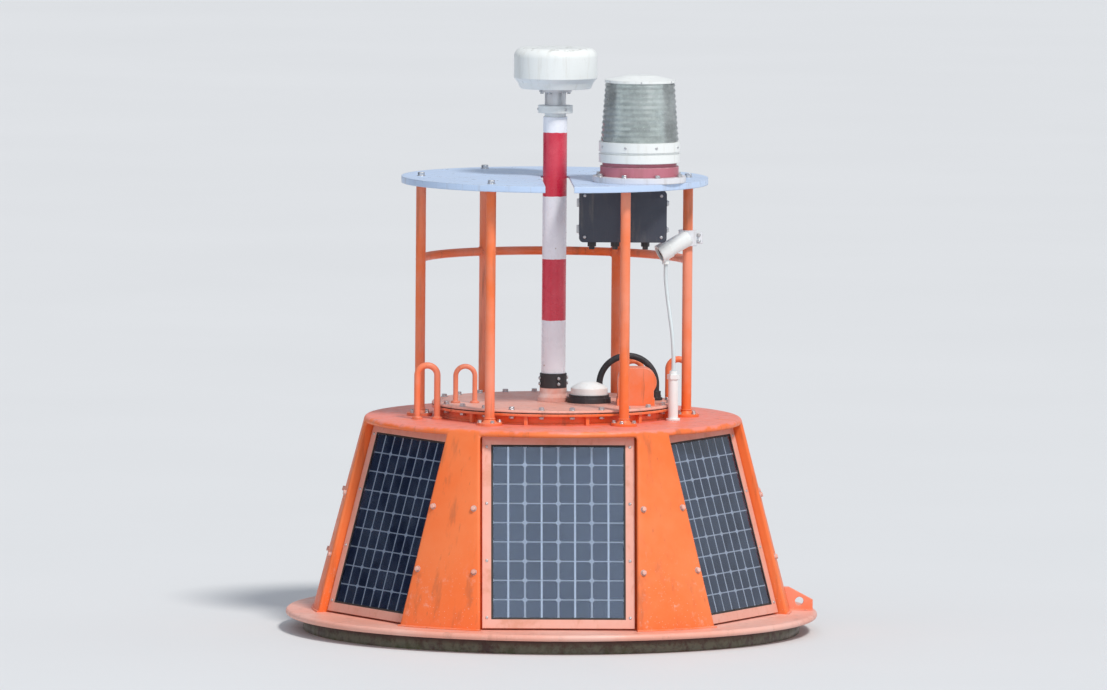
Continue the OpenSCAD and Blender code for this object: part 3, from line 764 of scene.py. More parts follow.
# %% Outlines of the float
CONE_FOOT_Z, DECK_LIP_Z = 0.058, 0.587
DECK_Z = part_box("float_upper")[1].z
CONE_FOOT_R, CONE_TOP_R = 0.6735, 0.530
FLAT_FOOT_R, FLAT_TOP_R = 0.606, 0.448
FLAT_SLOPE = math.degrees(math.atan((FLAT_FOOT_R - FLAT_TOP_R) / (DECK_Z - CONE_FOOT_Z)))
CONE_SLOPE = math.degrees(math.atan((CONE_FOOT_R - CONE_TOP_R) / (DECK_Z - CONE_FOOT_Z)))
PANEL_AZIMUTHS = [0, 60, 120, 180, 240, 300]
PANEL_W = 0.424
POCKET_HALF_W, POCKET_DEPTH = PANEL_W / 2 + 0.006, 0.012
SUNK_IN_RIM = 0.008
BACK_STEPS, STRIP_STEPS, POCKET_LEVELS = 10, 8, 9


def at_height(foot, top, z):
    return foot + (top - foot) * (z - CONE_FOOT_Z) / (DECK_Z - CONE_FOOT_Z)


def cone_point(radius, degrees, z):
    turn = math.radians(degrees)
    return Vector((radius * math.sin(turn), -radius * math.cos(turn), z))


def sixth_outline(z, pocketed):
    """A sixth of a level's outline: a pocket, then the strip of cone up to the next pocket."""
    radius = at_height(CONE_FOOT_R, CONE_TOP_R, z)
    back = at_height(FLAT_FOOT_R, FLAT_TOP_R, z) - POCKET_DEPTH / math.cos(math.radians(FLAT_SLOPE))
    lip = math.degrees(math.asin(POCKET_HALF_W / radius))
    points = [cone_point(radius, -lip, z)]
    for i in range(BACK_STEPS + 1):
        x = POCKET_HALF_W * (2 * i / BACK_STEPS - 1)
        points.append(Vector((x, -back if pocketed else -math.sqrt(radius ** 2 - x ** 2), z)))
    points += [cone_point(radius, lip + i * (60 - 2 * lip) / STRIP_STEPS, z) for i in range(STRIP_STEPS)]
    return points


def outline(z, pocketed):
    return [spin(azimuth) @ point for azimuth in PANEL_AZIMUTHS for point in sixth_outline(z, pocketed)]


print("slopes", round(FLAT_SLOPE, 2), round(CONE_SLOPE, 2))


# %% Raise the shell
LIP_ROUND = 0.009


def float_shell():
    foot = CONE_FOOT_Z - SUNK_IN_RIM
    rise = (DECK_LIP_Z - foot) / (POCKET_LEVELS - 1)
    levels = [outline(foot + i * rise, True) for i in range(POCKET_LEVELS)]
    levels += [outline(DECK_LIP_Z, False), outline(DECK_Z, False)]
    count = len(levels[0])
    clear_selection()
    bpy.ops.mesh.primitive_circle_add(vertices=count, radius=1, fill_type="NGON")
    shell = bpy.context.object
    edit_all()
    for _ in levels[1:]:
        bpy.ops.mesh.extrude_region_move(TRANSFORM_OT_translate={"value": (0, 0, 1)})
    object_mode()
    for vertex in shell.data.vertices:
        share = math.atan2(vertex.co.y, vertex.co.x) / math.tau
        vertex.co = levels[round(vertex.co.z)][round(share * count) % count]
    edit_all()
    bpy.ops.mesh.remove_doubles(threshold=0.00005)
    bpy.ops.mesh.normals_make_consistent(inside=False)
    object_mode()
    return use_modifier(shell, "BEVEL", width=LIP_ROUND, segments=4, limit_method="ANGLE",
                        angle_limit=math.radians(28))


shell = settle(float_shell(), "float_shell", orange_paint)
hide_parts("float_upper")
print("float shell faces", len(shell.data.polygons))

# %% [markdown]
# A small marine panel has four columns of nine cells under its glass, with a tinned ribbon down the
# middle of each column, on a pale back sheet. A pattern in the material could draw them. They are
# thin sheets here, each at its own depth under the glass, so that they part a little when seen from
# the side, as real ones do. One cell is modelled, and two arrays repeat it.

# %% Sizes of a panel
PANEL_RIM, PANEL_GAP, PANEL_PROUD = 0.025, 0.004, 0.006
PANEL_H = (DECK_LIP_Z - CONE_FOOT_Z) / math.cos(math.radians(FLAT_SLOPE)) - PANEL_GAP - 0.002
GLASS_W, GLASS_H, GLASS_FRONT = PANEL_W - 2 * PANEL_RIM, PANEL_H - 2 * PANEL_RIM, PANEL_PROUD - 0.002
COLUMNS, ROWS = 4, 9
CELL_PITCH_X, CELL_PITCH_Z = 0.093, 0.0545
CELL_GAP_X, CELL_GAP_Z = 0.0055, 0.0035
RIBBON_W = 0.0055
print("glass", round(GLASS_W, 3), "by", round(GLASS_H, 3))


# %% Sheets in the panel's plane
def flat_place(azimuth):
    return round_place(FLAT_FOOT_R, azimuth, CONE_FOOT_Z) @ spin(-FLAT_SLOPE, "X")


def panel_sheet(width, height, depth, x=0.0, z=0.0):
    """A rectangle in the panel's plane, at a depth under the glass's front, moved by x and z."""
    clear_selection()
    bpy.ops.mesh.primitive_plane_add(size=1)
    plane = bpy.context.object
    plane.scale = (width, height, 1)
    plane.rotation_euler = (math.radians(90), 0, 0)
    bpy.ops.object.transform_apply(location=False, rotation=True, scale=True)
    plane.data.transform(move(x, -GLASS_FRONT + depth, PANEL_GAP + PANEL_H / 2 + z))
    return plane


def array(piece, count, step):
    use_modifier(piece, "ARRAY", count=count, use_relative_offset=False, use_constant_offset=True,
                 constant_offset_displace=step)


print("sheets ready")


# %% Solar cells
FIRST_X, FIRST_Z = -CELL_PITCH_X * (COLUMNS - 1) / 2, -CELL_PITCH_Z * (ROWS - 1) / 2
SHEET_DEPTH, CELL_DEPTH, RIBBON_DEPTH = 0.0026, 0.0020, 0.0017
CELL_CORNER = 0.005


def solar_layers():
    sheet = panel_sheet(GLASS_W - 0.002, GLASS_H - 0.002, SHEET_DEPTH)
    sheet.data.materials.append(sheet_face)
    cell = panel_sheet(CELL_PITCH_X - CELL_GAP_X, CELL_PITCH_Z - CELL_GAP_Z, CELL_DEPTH, FIRST_X, FIRST_Z)
    cell.data.materials.append(cell_face)
    edit_all()
    bpy.ops.mesh.bevel(offset=CELL_CORNER, segments=1, affect="VERTICES")
    object_mode()
    array(cell, COLUMNS, (CELL_PITCH_X, 0, 0))
    array(cell, ROWS, (0, 0, CELL_PITCH_Z))
    ribbon = panel_sheet(RIBBON_W, CELL_PITCH_Z * ROWS - 0.006, RIBBON_DEPTH, FIRST_X)
    ribbon.data.materials.append(ribbon_face)
    array(ribbon, COLUMNS, (CELL_PITCH_X, 0, 0))
    return join([sheet, cell, ribbon])


flats = [flat_place(azimuth) for azimuth in PANEL_AZIMUTHS]
layers = solar_layers()
for number, flat in enumerate(flats, 1):
    settle(twin_of(layers, flat), f"solar_cells_{number}", None)
bpy.data.objects.remove(layers)
print("cells per panel", COLUMNS * ROWS)

# %% [markdown]
# A dark seal runs round each glass, between it and the frame. A dark line in the material could
# stand for it, but it is a lip that stands up a little. So it is a sheet of the glass's size that is
# inset, loses its middle and gets its thickness from Solidify.

# %% Panel seals
SEAL_W, SEAL_T = 0.0055, 0.0012


def panel_seal():
    seal = panel_sheet(GLASS_W, GLASS_H, -0.0001)
    edit_all()
    bpy.ops.mesh.inset(thickness=SEAL_W, depth=0)
    bpy.ops.mesh.delete(type="FACE")
    object_mode()
    return use_modifier(seal, "SOLIDIFY", thickness=SEAL_T, offset=1)


settle(spread(panel_seal(), flats), "panel_seals", gasket_rubber)
print("seal width", SEAL_W)

# %% [markdown]
# Domed screws with a sunk socket hold each panel's frame. A ball is squashed and cut at both ends for
# the dome, and an inset that is pushed in makes the socket. A short cylinder with a bevel would be
# quicker, but its flat top doesn't catch the light as a dome does.

# %% Panel screws
def faces_up(face):
    return face.normal.z > 0.9


def inset_faces(piece, steps, test=faces_up):
    """Insets the faces that pass the test, step by step. A step is a width and a depth."""
    pick_faces(piece, test)
    for width, depth in steps:
        bpy.ops.mesh.inset(thickness=width, depth=depth)
    object_mode()
    return piece


def half_ball(radius, segments, rings):
    """Half a ball that stands on z = 0."""
    clear_selection()
    bpy.ops.mesh.primitive_uv_sphere_add(segments=segments, ring_count=rings, radius=radius)
    ball = bpy.context.object
    edit_all()
    bpy.ops.mesh.bisect(plane_co=(0, 0, 0), plane_no=(0, 0, 1), clear_inner=True, use_fill=True)
    object_mode()
    return ball


def dome_screw(radius, head):
    """A domed screw head with a sunk socket, its foot on z = 0."""
    screw = half_ball(radius, 24, 12)
    screw.scale = (1, 1, head / radius)
    bpy.ops.object.transform_apply(location=False, rotation=False, scale=True)
    edit_all()
    bpy.ops.mesh.bisect(plane_co=(0, 0, head * 0.86), plane_no=(0, 0, 1), clear_outer=True, use_fill=True)
    socket = [(radius * 0.12, 0), (radius * 0.02, -head * 0.45)]
    return inset_faces(screw, socket, lambda face: face.normal.z > 0.95 and face.center.z > head * 0.8)


def fasten(model, places, name, metal=stainless, body="root"):
    """Copies a fastener to its places, as one piece."""
    settle(spread(model, places), name, metal, body)


SCREW_SPOTS = [(side * (PANEL_W / 2 - PANEL_RIM / 2), height)
               for side in (-1, 1) for height in (0.030, 0.191, 0.353, 0.514)]
screw_places = turned([flat @ move(x, -PANEL_PROUD, PANEL_GAP + height)
                       for flat in flats for x, height in SCREW_SPOTS], 90)
fasten(dome_screw(0.0045, 0.0028), screw_places, "panel_screws")
print("panel screws", len(screw_places))

# %% [markdown]
# On the cone beside each pocket sit the heads of the bolts that clamp the panel from behind, painted
# salmon as the rim is, a pale tone that on the rim is partly a painted sky sheen. A bolt is a cylinder
# of six sides with a chamfer from an inset, on a washer with a bevelled edge. It serves for every bolt
# and nut of the buoy, at its own size.

# %% Clamp bolts
def hex_bolt(across, head, washer_r=0.0, washer_t=0.0015):
    """A chamfered head, given across its flats, on a washer or alone. Its foot is on z = 0."""
    clear_selection()
    bpy.ops.mesh.primitive_cylinder_add(vertices=6, radius=across / math.sqrt(3), depth=head,
                                        location=(0, 0, washer_t + head / 2))
    bolt = inset_faces(bpy.context.object, [(across * 0.08, across * 0.06), (across * 0.10, 0)])
    if not washer_r:
        return bolt
    bpy.ops.mesh.primitive_cylinder_add(vertices=28, radius=washer_r, depth=washer_t,
                                        location=(0, 0, washer_t / 2))
    washer = bpy.context.object
    pick_faces(washer, faces_up)
    bpy.ops.mesh.bevel(offset=washer_t * 0.4, segments=1)
    object_mode()
    return join([bolt, washer])


CLAMP_HEIGHTS, CLAMP_FROM_LIP = (0.217, 0.390), 0.018
clamp_places = []
for height in CLAMP_HEIGHTS:
    radius = at_height(CONE_FOOT_R, CONE_TOP_R, height)
    beside = math.degrees(math.asin((POCKET_HALF_W + CLAMP_FROM_LIP) / radius))
    for side in (-1, 1):
        clamp_places += turned(ring(6, radius, side * beside, height), 90 - CONE_SLOPE)
settle(spread(hex_bolt(0.012, 0.006, 0.0090), clamp_places), "panel_clamp_bolts", salmon_sheen_paint)
print("clamp bolts", len(clamp_places))

# %% [markdown]
# The hatch lid is bolted to its neck all round, with nuts under the flange. Bolts also hold the
# posts' feet, the top plate and the lantern. Each set is a ring of places, which a loop works out
# from the ring's radius, so that the bolts sit on the holes' circle whatever their number.

# %% Bolts of the lid
LID_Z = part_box("hatch_lid")[1].z
NECK_FLANGE_Z = LID_Z - 0.017
LID_BOLTS, LID_BOLT_R = 24, 0.3284
LID_FIRST = 180 / LID_BOLTS

fasten(hex_bolt(0.014, 0.006, 0.0094), ring(LID_BOLTS, LID_BOLT_R, LID_FIRST, LID_Z), "lid_bolts")
nut_places = turned(ring(LID_BOLTS, LID_BOLT_R, LID_FIRST, NECK_FLANGE_Z), 180)
fasten(hex_bolt(0.014, 0.006), nut_places, "lid_nuts")
print("lid bolts", LID_BOLTS)

# %% Bolts of posts, plate and lantern
POST_RING_R = 0.376
POST_AZIMUTHS = [-30, 30, 90, 150, 210, 270]
FOOT_T, FOOT_BOLT_R = 0.008, 0.0285
post_feet = [round_place(POST_RING_R, azimuth, DECK_Z + FOOT_T) for azimuth in POST_AZIMUTHS]
foot_places = [foot @ corner for foot in post_feet for corner in ring(4, FOOT_BOLT_R, 45, 0)]
fasten(hex_bolt(0.010, 0.005, 0.0068), foot_places, "post_foot_bolts")

PLATE_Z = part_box("top_plate")[1].z
UNDER_LANTERN = 30
plate_places = [round_place(POST_RING_R, azimuth, PLATE_Z) for azimuth in POST_AZIMUTHS
                if azimuth != UNDER_LANTERN]
fasten(hex_bolt(0.017, 0.008, 0.012), plate_places, "plate_bolts")

LANTERN_X, LANTERN_Y = 0.230, -0.205
FLANGE_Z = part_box("lantern_flange")[1].z
LANTERN_BOLT_R = 0.1205
lantern_places = ring(8, LANTERN_BOLT_R, 22.5, FLANGE_Z, LANTERN_X, LANTERN_Y)
fasten(hex_bolt(0.013, 0.006, 0.0085), lantern_places, "lantern_bolts")
print("bolts", len(foot_places) + len(plate_places) + len(lantern_places))

# %% [markdown]
# Steel pieces are welded where they meet: at the foot of each post, lifting bar and hand hold, and
# round the hatch neck. A bead could be a bump in the paint, but it has a height that shows at the
# outline. So it is a thin torus, and a Displace modifier with a cloud texture gives it the ripple
# of its passes.

# %% Round welds
def ripple(bead, grain, strength):
    """The ripple that the passes of the torch leave."""
    clouds = bpy.data.textures.new("passes", "CLOUDS")
    clouds.noise_scale = grain
    return use_modifier(bead, "DISPLACE", texture=clouds, strength=strength, mid_level=0.5)


def weld_ring(radius, bead, steps):
    clear_selection()
    bpy.ops.mesh.primitive_torus_add(major_radius=radius, minor_radius=bead, major_segments=steps,
                                     minor_segments=8)
    return ripple(bpy.context.object, bead * 1.6, bead * 0.7)


def weld(beads, name):
    settle(beads, name, fitting_paint)


LIFTING_X, LIFTING_Y, LIFTING_LEG = 0.358, 0.132, 0.028
HANDLES, HANDLE_LEG = [(-0.250, -0.080), (0.230, 0.130)], 0.027
POST_WELDS = [round_place(POST_RING_R, azimuth, DECK_Z + 0.019) for azimuth in POST_AZIMUTHS]
BAR_WELDS = [move(side * LIFTING_X + leg * LIFTING_LEG, side * LIFTING_Y, DECK_Z + 0.006)
             for side in (-1, 1) for leg in (-1, 1)]
HANDLE_WELDS = [move(x + leg * HANDLE_LEG, y, LID_Z + 0.005) for x, y in HANDLES for leg in (-1, 1)]

# name, radius of the ring, radius of the bead, steps round it, places
RING_WELDS = [
    ("post_welds", 0.0145, 0.0020, 40, POST_WELDS),
    ("neck_weld", 0.3210, 0.0035, 320, [move(z=DECK_Z + 0.002)]),
    ("lifting_bar_welds", 0.0095, 0.0022, 32, BAR_WELDS),
    ("handle_welds", 0.0074, 0.0018, 28, HANDLE_WELDS),
]
for name, radius, bead, steps, places in RING_WELDS:
    weld(spread(weld_ring(radius, bead, steps), places), name)
print("round welds", sum(len(row[-1]) for row in RING_WELDS))

# %% [markdown]
# Where the cone stands on the rim flange, a bead runs from each pocket to the next. A ring won't do
# here, because the pockets break it. A curve follows the cone's foot, gets a round bevel, becomes a
# mesh and is rippled in the same way.

# %% Welds at the cone's foot
def bead_along(path, bead):
    """A rippled bead along a path, for a run of weld or a bent wire."""
    clear_selection()
    line = bpy.data.curves.new("bead", "CURVE")
    line.dimensions = "3D"
    line.bevel_depth = bead
    line.bevel_resolution = 2
    line.use_fill_caps = True
    run = line.splines.new("POLY")
    run.points.add(len(path) - 1)
    for point, place in zip(run.points, path):
        point.co = (*place, 1)
    piece = bpy.data.objects.new("bead", line)
    scene.collection.objects.link(piece)
    piece.select_set(True)
    bpy.context.view_layer.objects.active = piece
    bpy.ops.object.convert(target="MESH")
    return ripple(bpy.context.object, bead * 1.8, bead * 0.6)


LIP_TURN = math.degrees(math.asin(POCKET_HALF_W / CONE_FOOT_R))
STRIP_TURN = 60 - 2 * LIP_TURN
WELD_STEPS = 40
FOOT_WELD_Z = CONE_FOOT_Z + 0.001

for number, azimuth in enumerate(PANEL_AZIMUTHS, 1):
    turns = [azimuth + LIP_TURN + i * STRIP_TURN / WELD_STEPS for i in range(WELD_STEPS + 1)]
    path = [cone_point(CONE_FOOT_R, turn, FOOT_WELD_Z) for turn in turns]
    weld(bead_along(path, 0.004), f"cone_foot_weld_{number}")
print("strip between pockets, degrees", round(STRIP_TURN, 2))

# %% Welds of rail and towing lug
RAIL_Z, RAIL_R, RAIL_WELD_X = 1.045, 0.012, 0.0145
RAIL_ENDS = [(90, 1), (150, -1), (150, 1), (210, -1), (210, 1), (270, -1)]
rail_welds = [round_place(POST_RING_R, azimuth, RAIL_Z) @ move(x=side * RAIL_WELD_X) @ spin(90, "Y")
              for azimuth, side in RAIL_ENDS]
weld(spread(weld_ring(RAIL_R + 0.0003, 0.002, 36), rail_welds), "rail_welds")

LUG_FROM, LUG_TO, LUG_HALF_T, LUG_STEPS = 0.668, 0.736, 0.0088, 14


def lug_weld(y):
    start, end = Vector((LUG_FROM, y, FOOT_WELD_Z)), Vector((LUG_TO, y, FOOT_WELD_Z))
    return bead_along([start.lerp(end, i / LUG_STEPS) for i in range(LUG_STEPS + 1)], 0.003)


weld(join([lug_weld(-LUG_HALF_T), lug_weld(LUG_HALF_T)]), "towing_lug_welds")
print("rail and lug welded")

# %% [markdown]
# Behind the ribbed lens stands the lamp module with rings of small clear domes, one for each diode.
# They show only as a sparkle through the lens, so half a ball with few faces will do. Small screws
# go round the ring and the cap.

# %% Lantern
led_clear = plastic("led_clear", (0.72, 0.74, 0.62), (0.84, 0.86, 0.78), (0.40, 0.38, 0.28),
                    dirt=0.15, rough=0.22)
CORE_R, CORE_FINS, FIN_PITCH, FIN_Z = 0.0498, 7, 0.020, 1.419
RING_SCREW_R, RING_SCREW_Z = 0.1138, 1.381
CAP_SCREW_R, CAP_SCREW_Z = 0.0988, 1.564


def round_lantern(count, radius, first, z):
    return turned(ring(count, radius, first, z, LANTERN_X, LANTERN_Y), 90)


led_places = []
for i in range(CORE_FINS):
    led_places += round_lantern(12, CORE_R, 15 * (i % 2), FIN_Z + i * FIN_PITCH)
settle(spread(half_ball(0.0034, 10, 6), led_places), "lamp_leds", led_clear)
ring_screws = round_lantern(8, RING_SCREW_R, 22.5, RING_SCREW_Z)
cap_screws = round_lantern(6, CAP_SCREW_R, 0, CAP_SCREW_Z)
fasten(dome_screw(0.0042, 0.0028), ring_screws, "lantern_ring_screws")
fasten(dome_screw(0.0026, 0.0018), cap_screws, "lantern_cap_screws")
print("lantern domes and screws", len(led_places), len(ring_screws) + len(cap_screws))

# %% [markdown]
# The control box hangs under the plate, its lid towards the viewer. It has a screw in each corner,
# two hinges on the left and two latches on the right, over the seam between lid and body. The
# places come from the box's own corners, so that the fittings stay on it if its size changes. Both
# fittings start from a bevelled block, because sharp cubes look cut from paper.

# %% Screws of the control box
BOX_LOW, BOX_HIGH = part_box("control_box")
CORNER_IN = 0.015
screw_x = (BOX_LOW.x + CORNER_IN, BOX_HIGH.x - CORNER_IN)
screw_z = (BOX_LOW.z + CORNER_IN, BOX_HIGH.z - CORNER_IN)
box_screws = turned([move(x, BOX_LOW.y, z) for x in screw_x for z in screw_z], 90)
fasten(dome_screw(0.0046, 0.0030), box_screws, "box_screws")
print("box screws", len(box_screws))

# %% Latches and hinges
def block(width, depth, height, bevel):
    """A bevelled block that stands on z = 0."""
    clear_selection()
    bpy.ops.mesh.primitive_cube_add(size=1, location=(0, 0, height / 2))
    made = bpy.context.object
    made.scale = (width, depth, height)
    bpy.ops.object.transform_apply(location=True, rotation=False, scale=True)
    edit_all()
    bpy.ops.mesh.bevel(offset=bevel, segments=2)
    object_mode()
    return made


def latch():
    """A toggle latch: a keeper plate with a raised lever, its foot on z = 0."""
    plate = block(0.016, 0.034, 0.003, 0.0008)
    lever = inset_faces(block(0.012, 0.024, 0.007, 0.0016), [(0.0022, -0.0012)])
    return join([plate, lever])


def hinge():
    """A leaf and a barrel, its foot on z = 0."""
    leaf = block(0.022, 0.030, 0.0022, 0.0006)
    clear_selection()
    bpy.ops.mesh.primitive_cylinder_add(vertices=20, radius=0.0034, depth=0.022, location=(0, 0, 0.0036),
                                        rotation=(0, math.radians(90), 0))
    barrel = bpy.context.object
    inset_faces(barrel, [(0.0008, 0.0006)], lambda face: abs(face.normal.z) > 0.9)
    return join([leaf, barrel])


SEAM_Y = BOX_LOW.y + 0.018
LATCH_Z = (BOX_LOW.z + 0.036, BOX_HIGH.z - 0.036)
fasten(latch(), [move(BOX_HIGH.x, SEAM_Y, z) @ spin(90, "Y") for z in LATCH_Z], "box_latches")
fasten(hinge(), [move(BOX_LOW.x, SEAM_Y, z) @ spin(-90, "Y") for z in LATCH_Z], "box_hinges")
print("latches and hinges", 2 * len(LATCH_Z))

# %% [markdown]
# The small camera on the right-hand post looks out through a window in its hood. The bezel is a
# short cylinder whose front is inset three times, out, level and in, which leaves a rim round a
# sunk floor. All three pieces are modelled upright and share one place, which tilts them together.
# Two bolts draw the clamp round the post.

# %% Camera on its post
CAMERA_FOOT = (0.372, -0.050, 1.112)
CAMERA_TURN, CAMERA_DIP = 195, 118
CAMERA_PLACE = move(*CAMERA_FOOT) @ spin(CAMERA_TURN) @ spin(CAMERA_DIP, "Y")
EYE_FOOT_Z = 0.0829


def inset_disc(radius, thickness, z, steps):
    clear_selection()
    bpy.ops.mesh.primitive_cylinder_add(vertices=40, radius=radius, depth=thickness, location=(0, 0, z))
    return inset_faces(bpy.context.object, steps)


bezel = inset_disc(0.0204, 0.005, 0.0828, [(0.0016, 0.0008), (0.0022, 0), (0.0004, -0.0030)])
settle(spread(bezel, [CAMERA_PLACE]), "camera_bezel", black_plastic)
eye = half_ball(0.0085, 28, 16)
eye.scale = (1, 1, 0.20)
settle(spread(eye, [CAMERA_PLACE @ move(z=EYE_FOOT_Z)]), "camera_eye", black_plastic)
window = inset_disc(0.0158, 0.0012, 0.0852, [(0.0008, 0.0003)])
settle(spread(window, [CAMERA_PLACE]), "camera_window", camera_glass)

EAR_X, EAR_BOLT_Z, EAR_HALF_T = POST_RING_R + 0.031, (1.101, 1.119), 0.005
ear_bolts = turned([move(EAR_X, -EAR_HALF_T, z) for z in EAR_BOLT_Z], 90)
ear_nuts = turned([move(EAR_X, EAR_HALF_T, z) for z in EAR_BOLT_Z], -90)
fasten(hex_bolt(0.008, 0.0045, 0.0056), ear_bolts, "clamp_bolts")
fasten(hex_bolt(0.008, 0.0040, 0.0056), ear_nuts, "clamp_nuts")
print("camera dressed")

# %% [markdown]
# The mast is held by set screws in its foot and collar, and bolts go up into the antenna. They point
# inwards or up, so each place on the ring is turned before the head is copied to it.

# %% Screws of the mast
FOOT_SCREW_R, FOOT_SCREW_Z = 0.0378, (0.697, 0.713)
COLLAR_SCREW_R, COLLAR_SCREW_Z = 0.0488, 1.4715
ANTENNA_BOLT_R, ANTENNA_BOLT_Z = 0.0380, 1.520
foot_screws = [screw for z in FOOT_SCREW_Z for screw in turned(ring(4, FOOT_SCREW_R, 20, z), 90)]
fasten(hex_bolt(0.008, 0.004), foot_screws, "mast_foot_screws")
collar_screws = turned(ring(3, COLLAR_SCREW_R, 35, COLLAR_SCREW_Z), 90)
fasten(dome_screw(0.0040, 0.0026), collar_screws, "mast_collar_screws")
antenna_bolts = turned(ring(6, ANTENNA_BOLT_R, 30, ANTENNA_BOLT_Z), 180)
fasten(hex_bolt(0.008, 0.004, 0.0052), antenna_bolts, "antenna_bolts")
print("mast screws", len(foot_screws) + len(collar_screws) + len(antenna_bolts))

# %% [markdown]
# Below the waterline the tail's flange, the ballast and the anodes are bolted on. These bolts are
# larger and galvanised, because they carry the keel. Nuts could be modelled with their threads, but
# at this size only the six sides show, so bolt and nut are one model here, one of them turned over.

# %% Bolts below the waterline
TAIL_Z, TAIL_R, TAIL_FLANGE_T = -0.820, 0.1095, 0.020
TAIL_BOLT_R, BALLAST_BOLT_R, BALLAST_TOP = 0.1430, 0.1850, 0.145
tail_bolts = ring(12, TAIL_BOLT_R, 15, TAIL_Z + TAIL_FLANGE_T)
tail_bolts += turned(ring(12, TAIL_BOLT_R, 15, TAIL_Z), 180)
ballast_bolts = ring(6, BALLAST_BOLT_R, 30, TAIL_Z + BALLAST_TOP)
ballast_bolts += turned(ring(6, BALLAST_BOLT_R, 30, TAIL_Z + TAIL_FLANGE_T), 180)
fasten(hex_bolt(0.018, 0.010, 0.013), tail_bolts, "tail_bolts", galvanised)
fasten(hex_bolt(0.024, 0.013, 0.018, 0.003), ballast_bolts, "ballast_bolts", galvanised)

ANODE_R, ANODE_BOLT_Z = TAIL_R + 0.028, (-0.625, -0.495)
anode_bolts = [bolt for z in ANODE_BOLT_Z for bolt in turned(ring(4, ANODE_R, 45, z), 90)]
fasten(hex_bolt(0.013, 0.007, 0.010), anode_bolts, "anode_bolts", galvanised)
print("bolts below the waterline", len(tail_bolts + ballast_bolts + anode_bolts))

# %% [markdown]
# The swivel's bearing is greased through a nipple on the yoke, and a split pin keeps the shackle's
# nut from backing off. The nipple's waist comes from extruding a face and scaling it, out and in
# again. The split pin is two runs of wire and an eye, and it rides on the shackle.

# %% Grease nipple and split pin
def grease_nipple():
    """A hexagon foot and a waisted head, its foot on z = 0."""
    base = hex_bolt(0.008, 0.004)
    clear_selection()
    bpy.ops.mesh.primitive_cone_add(vertices=20, radius1=0.0026, radius2=0.0016, depth=0.005,
                                    location=(0, 0, 0.0078))
    neck = bpy.context.object
    pick_faces(neck, faces_up)
    for rise, spread_out in ((0.0010, 1.6), (0.0016, 0.55)):
        bpy.ops.mesh.extrude_region_move(TRANSFORM_OT_translate={"value": (0, 0, rise)})
        bpy.ops.transform.resize(value=(spread_out, spread_out, 1))
    object_mode()
    return join([base, neck])


NIPPLE_PLACE = move(0.080, 0, -0.915) @ spin(90, "Y")
fasten(grease_nipple(), [NIPPLE_PLACE], "grease_nipple")

EYE_Z, NUT_Y = -0.998, 0.059
WIRE_R, EYE_X, EYE_R = 0.0016, -0.0405, 0.0050
LEG = [(-0.036, 0.0012), (0.028, 0.0012), (0.033, 0.0030), (0.037, 0.0080)]


def split_pin():
    """A split pin along X: an eye, and two legs that are bent apart."""
    legs = [bead_along([(x, 0, side * z) for x, z in LEG], WIRE_R) for side in (1, -1)]
    turns = [math.radians(20 + i * 20) for i in range(17)]
    eye = [(EYE_X + EYE_R * math.cos(turn), 0, EYE_R * math.sin(turn)) for turn in turns]
    return join([*legs, bead_along(eye, 0.0014)])


fasten(split_pin(), [move(0, NUT_Y, EYE_Z)], "split_pin", body="shackle")
print("small hardware ready")

# %% [markdown]
# Barnacles crowd on the lower float and thin out downwards. They settle beside each other, so even
# spacing looks wrong, and a pattern of steps shows as rows. So random places with a fixed seed
# choose where clumps lie, and a bell curve scatters each clump round its middle. One shell of a few
# dozen faces is copied, at its own size each time, and stands square to the hull.

# %% Outline of the hull
SIDE_END, ARC_END = 0.12, 0.62
HULL_R, SIDE_TOP_Z, SIDE_DROP = 0.700, -0.003, 0.017
ARC_R, ARC_X, ARC_Z = 0.120, 0.580, -0.020
BOTTOM_SLOPE, BOTTOM_R, BOTTOM_Z = 20.06, 0.310, -0.246


def hull_point(share):
    """Radius, height and tilt of the normal, at a share of the way down the lower float.

    Its outline is an upright side, then an arc, then the straight slope of the bottom."""
    if share < SIDE_END:
        return HULL_R, SIDE_TOP_Z - SIDE_DROP * share / SIDE_END, 90.0
    if share < ARC_END:
        angle = (share - SIDE_END) / (ARC_END - SIDE_END) * (90 - BOTTOM_SLOPE)
        turn = math.radians(angle)
        return ARC_X + ARC_R * math.cos(turn), ARC_Z - ARC_R * math.sin(turn), 90 + angle
    run = (share - ARC_END) / (1 - ARC_END)
    foot_x = ARC_X + ARC_R * math.sin(math.radians(BOTTOM_SLOPE))
    foot_z = ARC_Z - ARC_R * math.cos(math.radians(BOTTOM_SLOPE))
    return foot_x + run * (BOTTOM_R - foot_x), foot_z + run * (BOTTOM_Z - foot_z), 180 - BOTTOM_SLOPE


print("hull halfway down", [round(value, 3) for value in hull_point(0.5)])


# %% Barnacles
def barnacle():
    clear_selection()
    bpy.ops.mesh.primitive_cone_add(vertices=8, radius1=0.0068, radius2=0.0034, depth=0.0062,
                                    location=(0, 0, 0.0027))
    return inset_faces(bpy.context.object, [(0.0009, 0), (0.0003, -0.0034)])


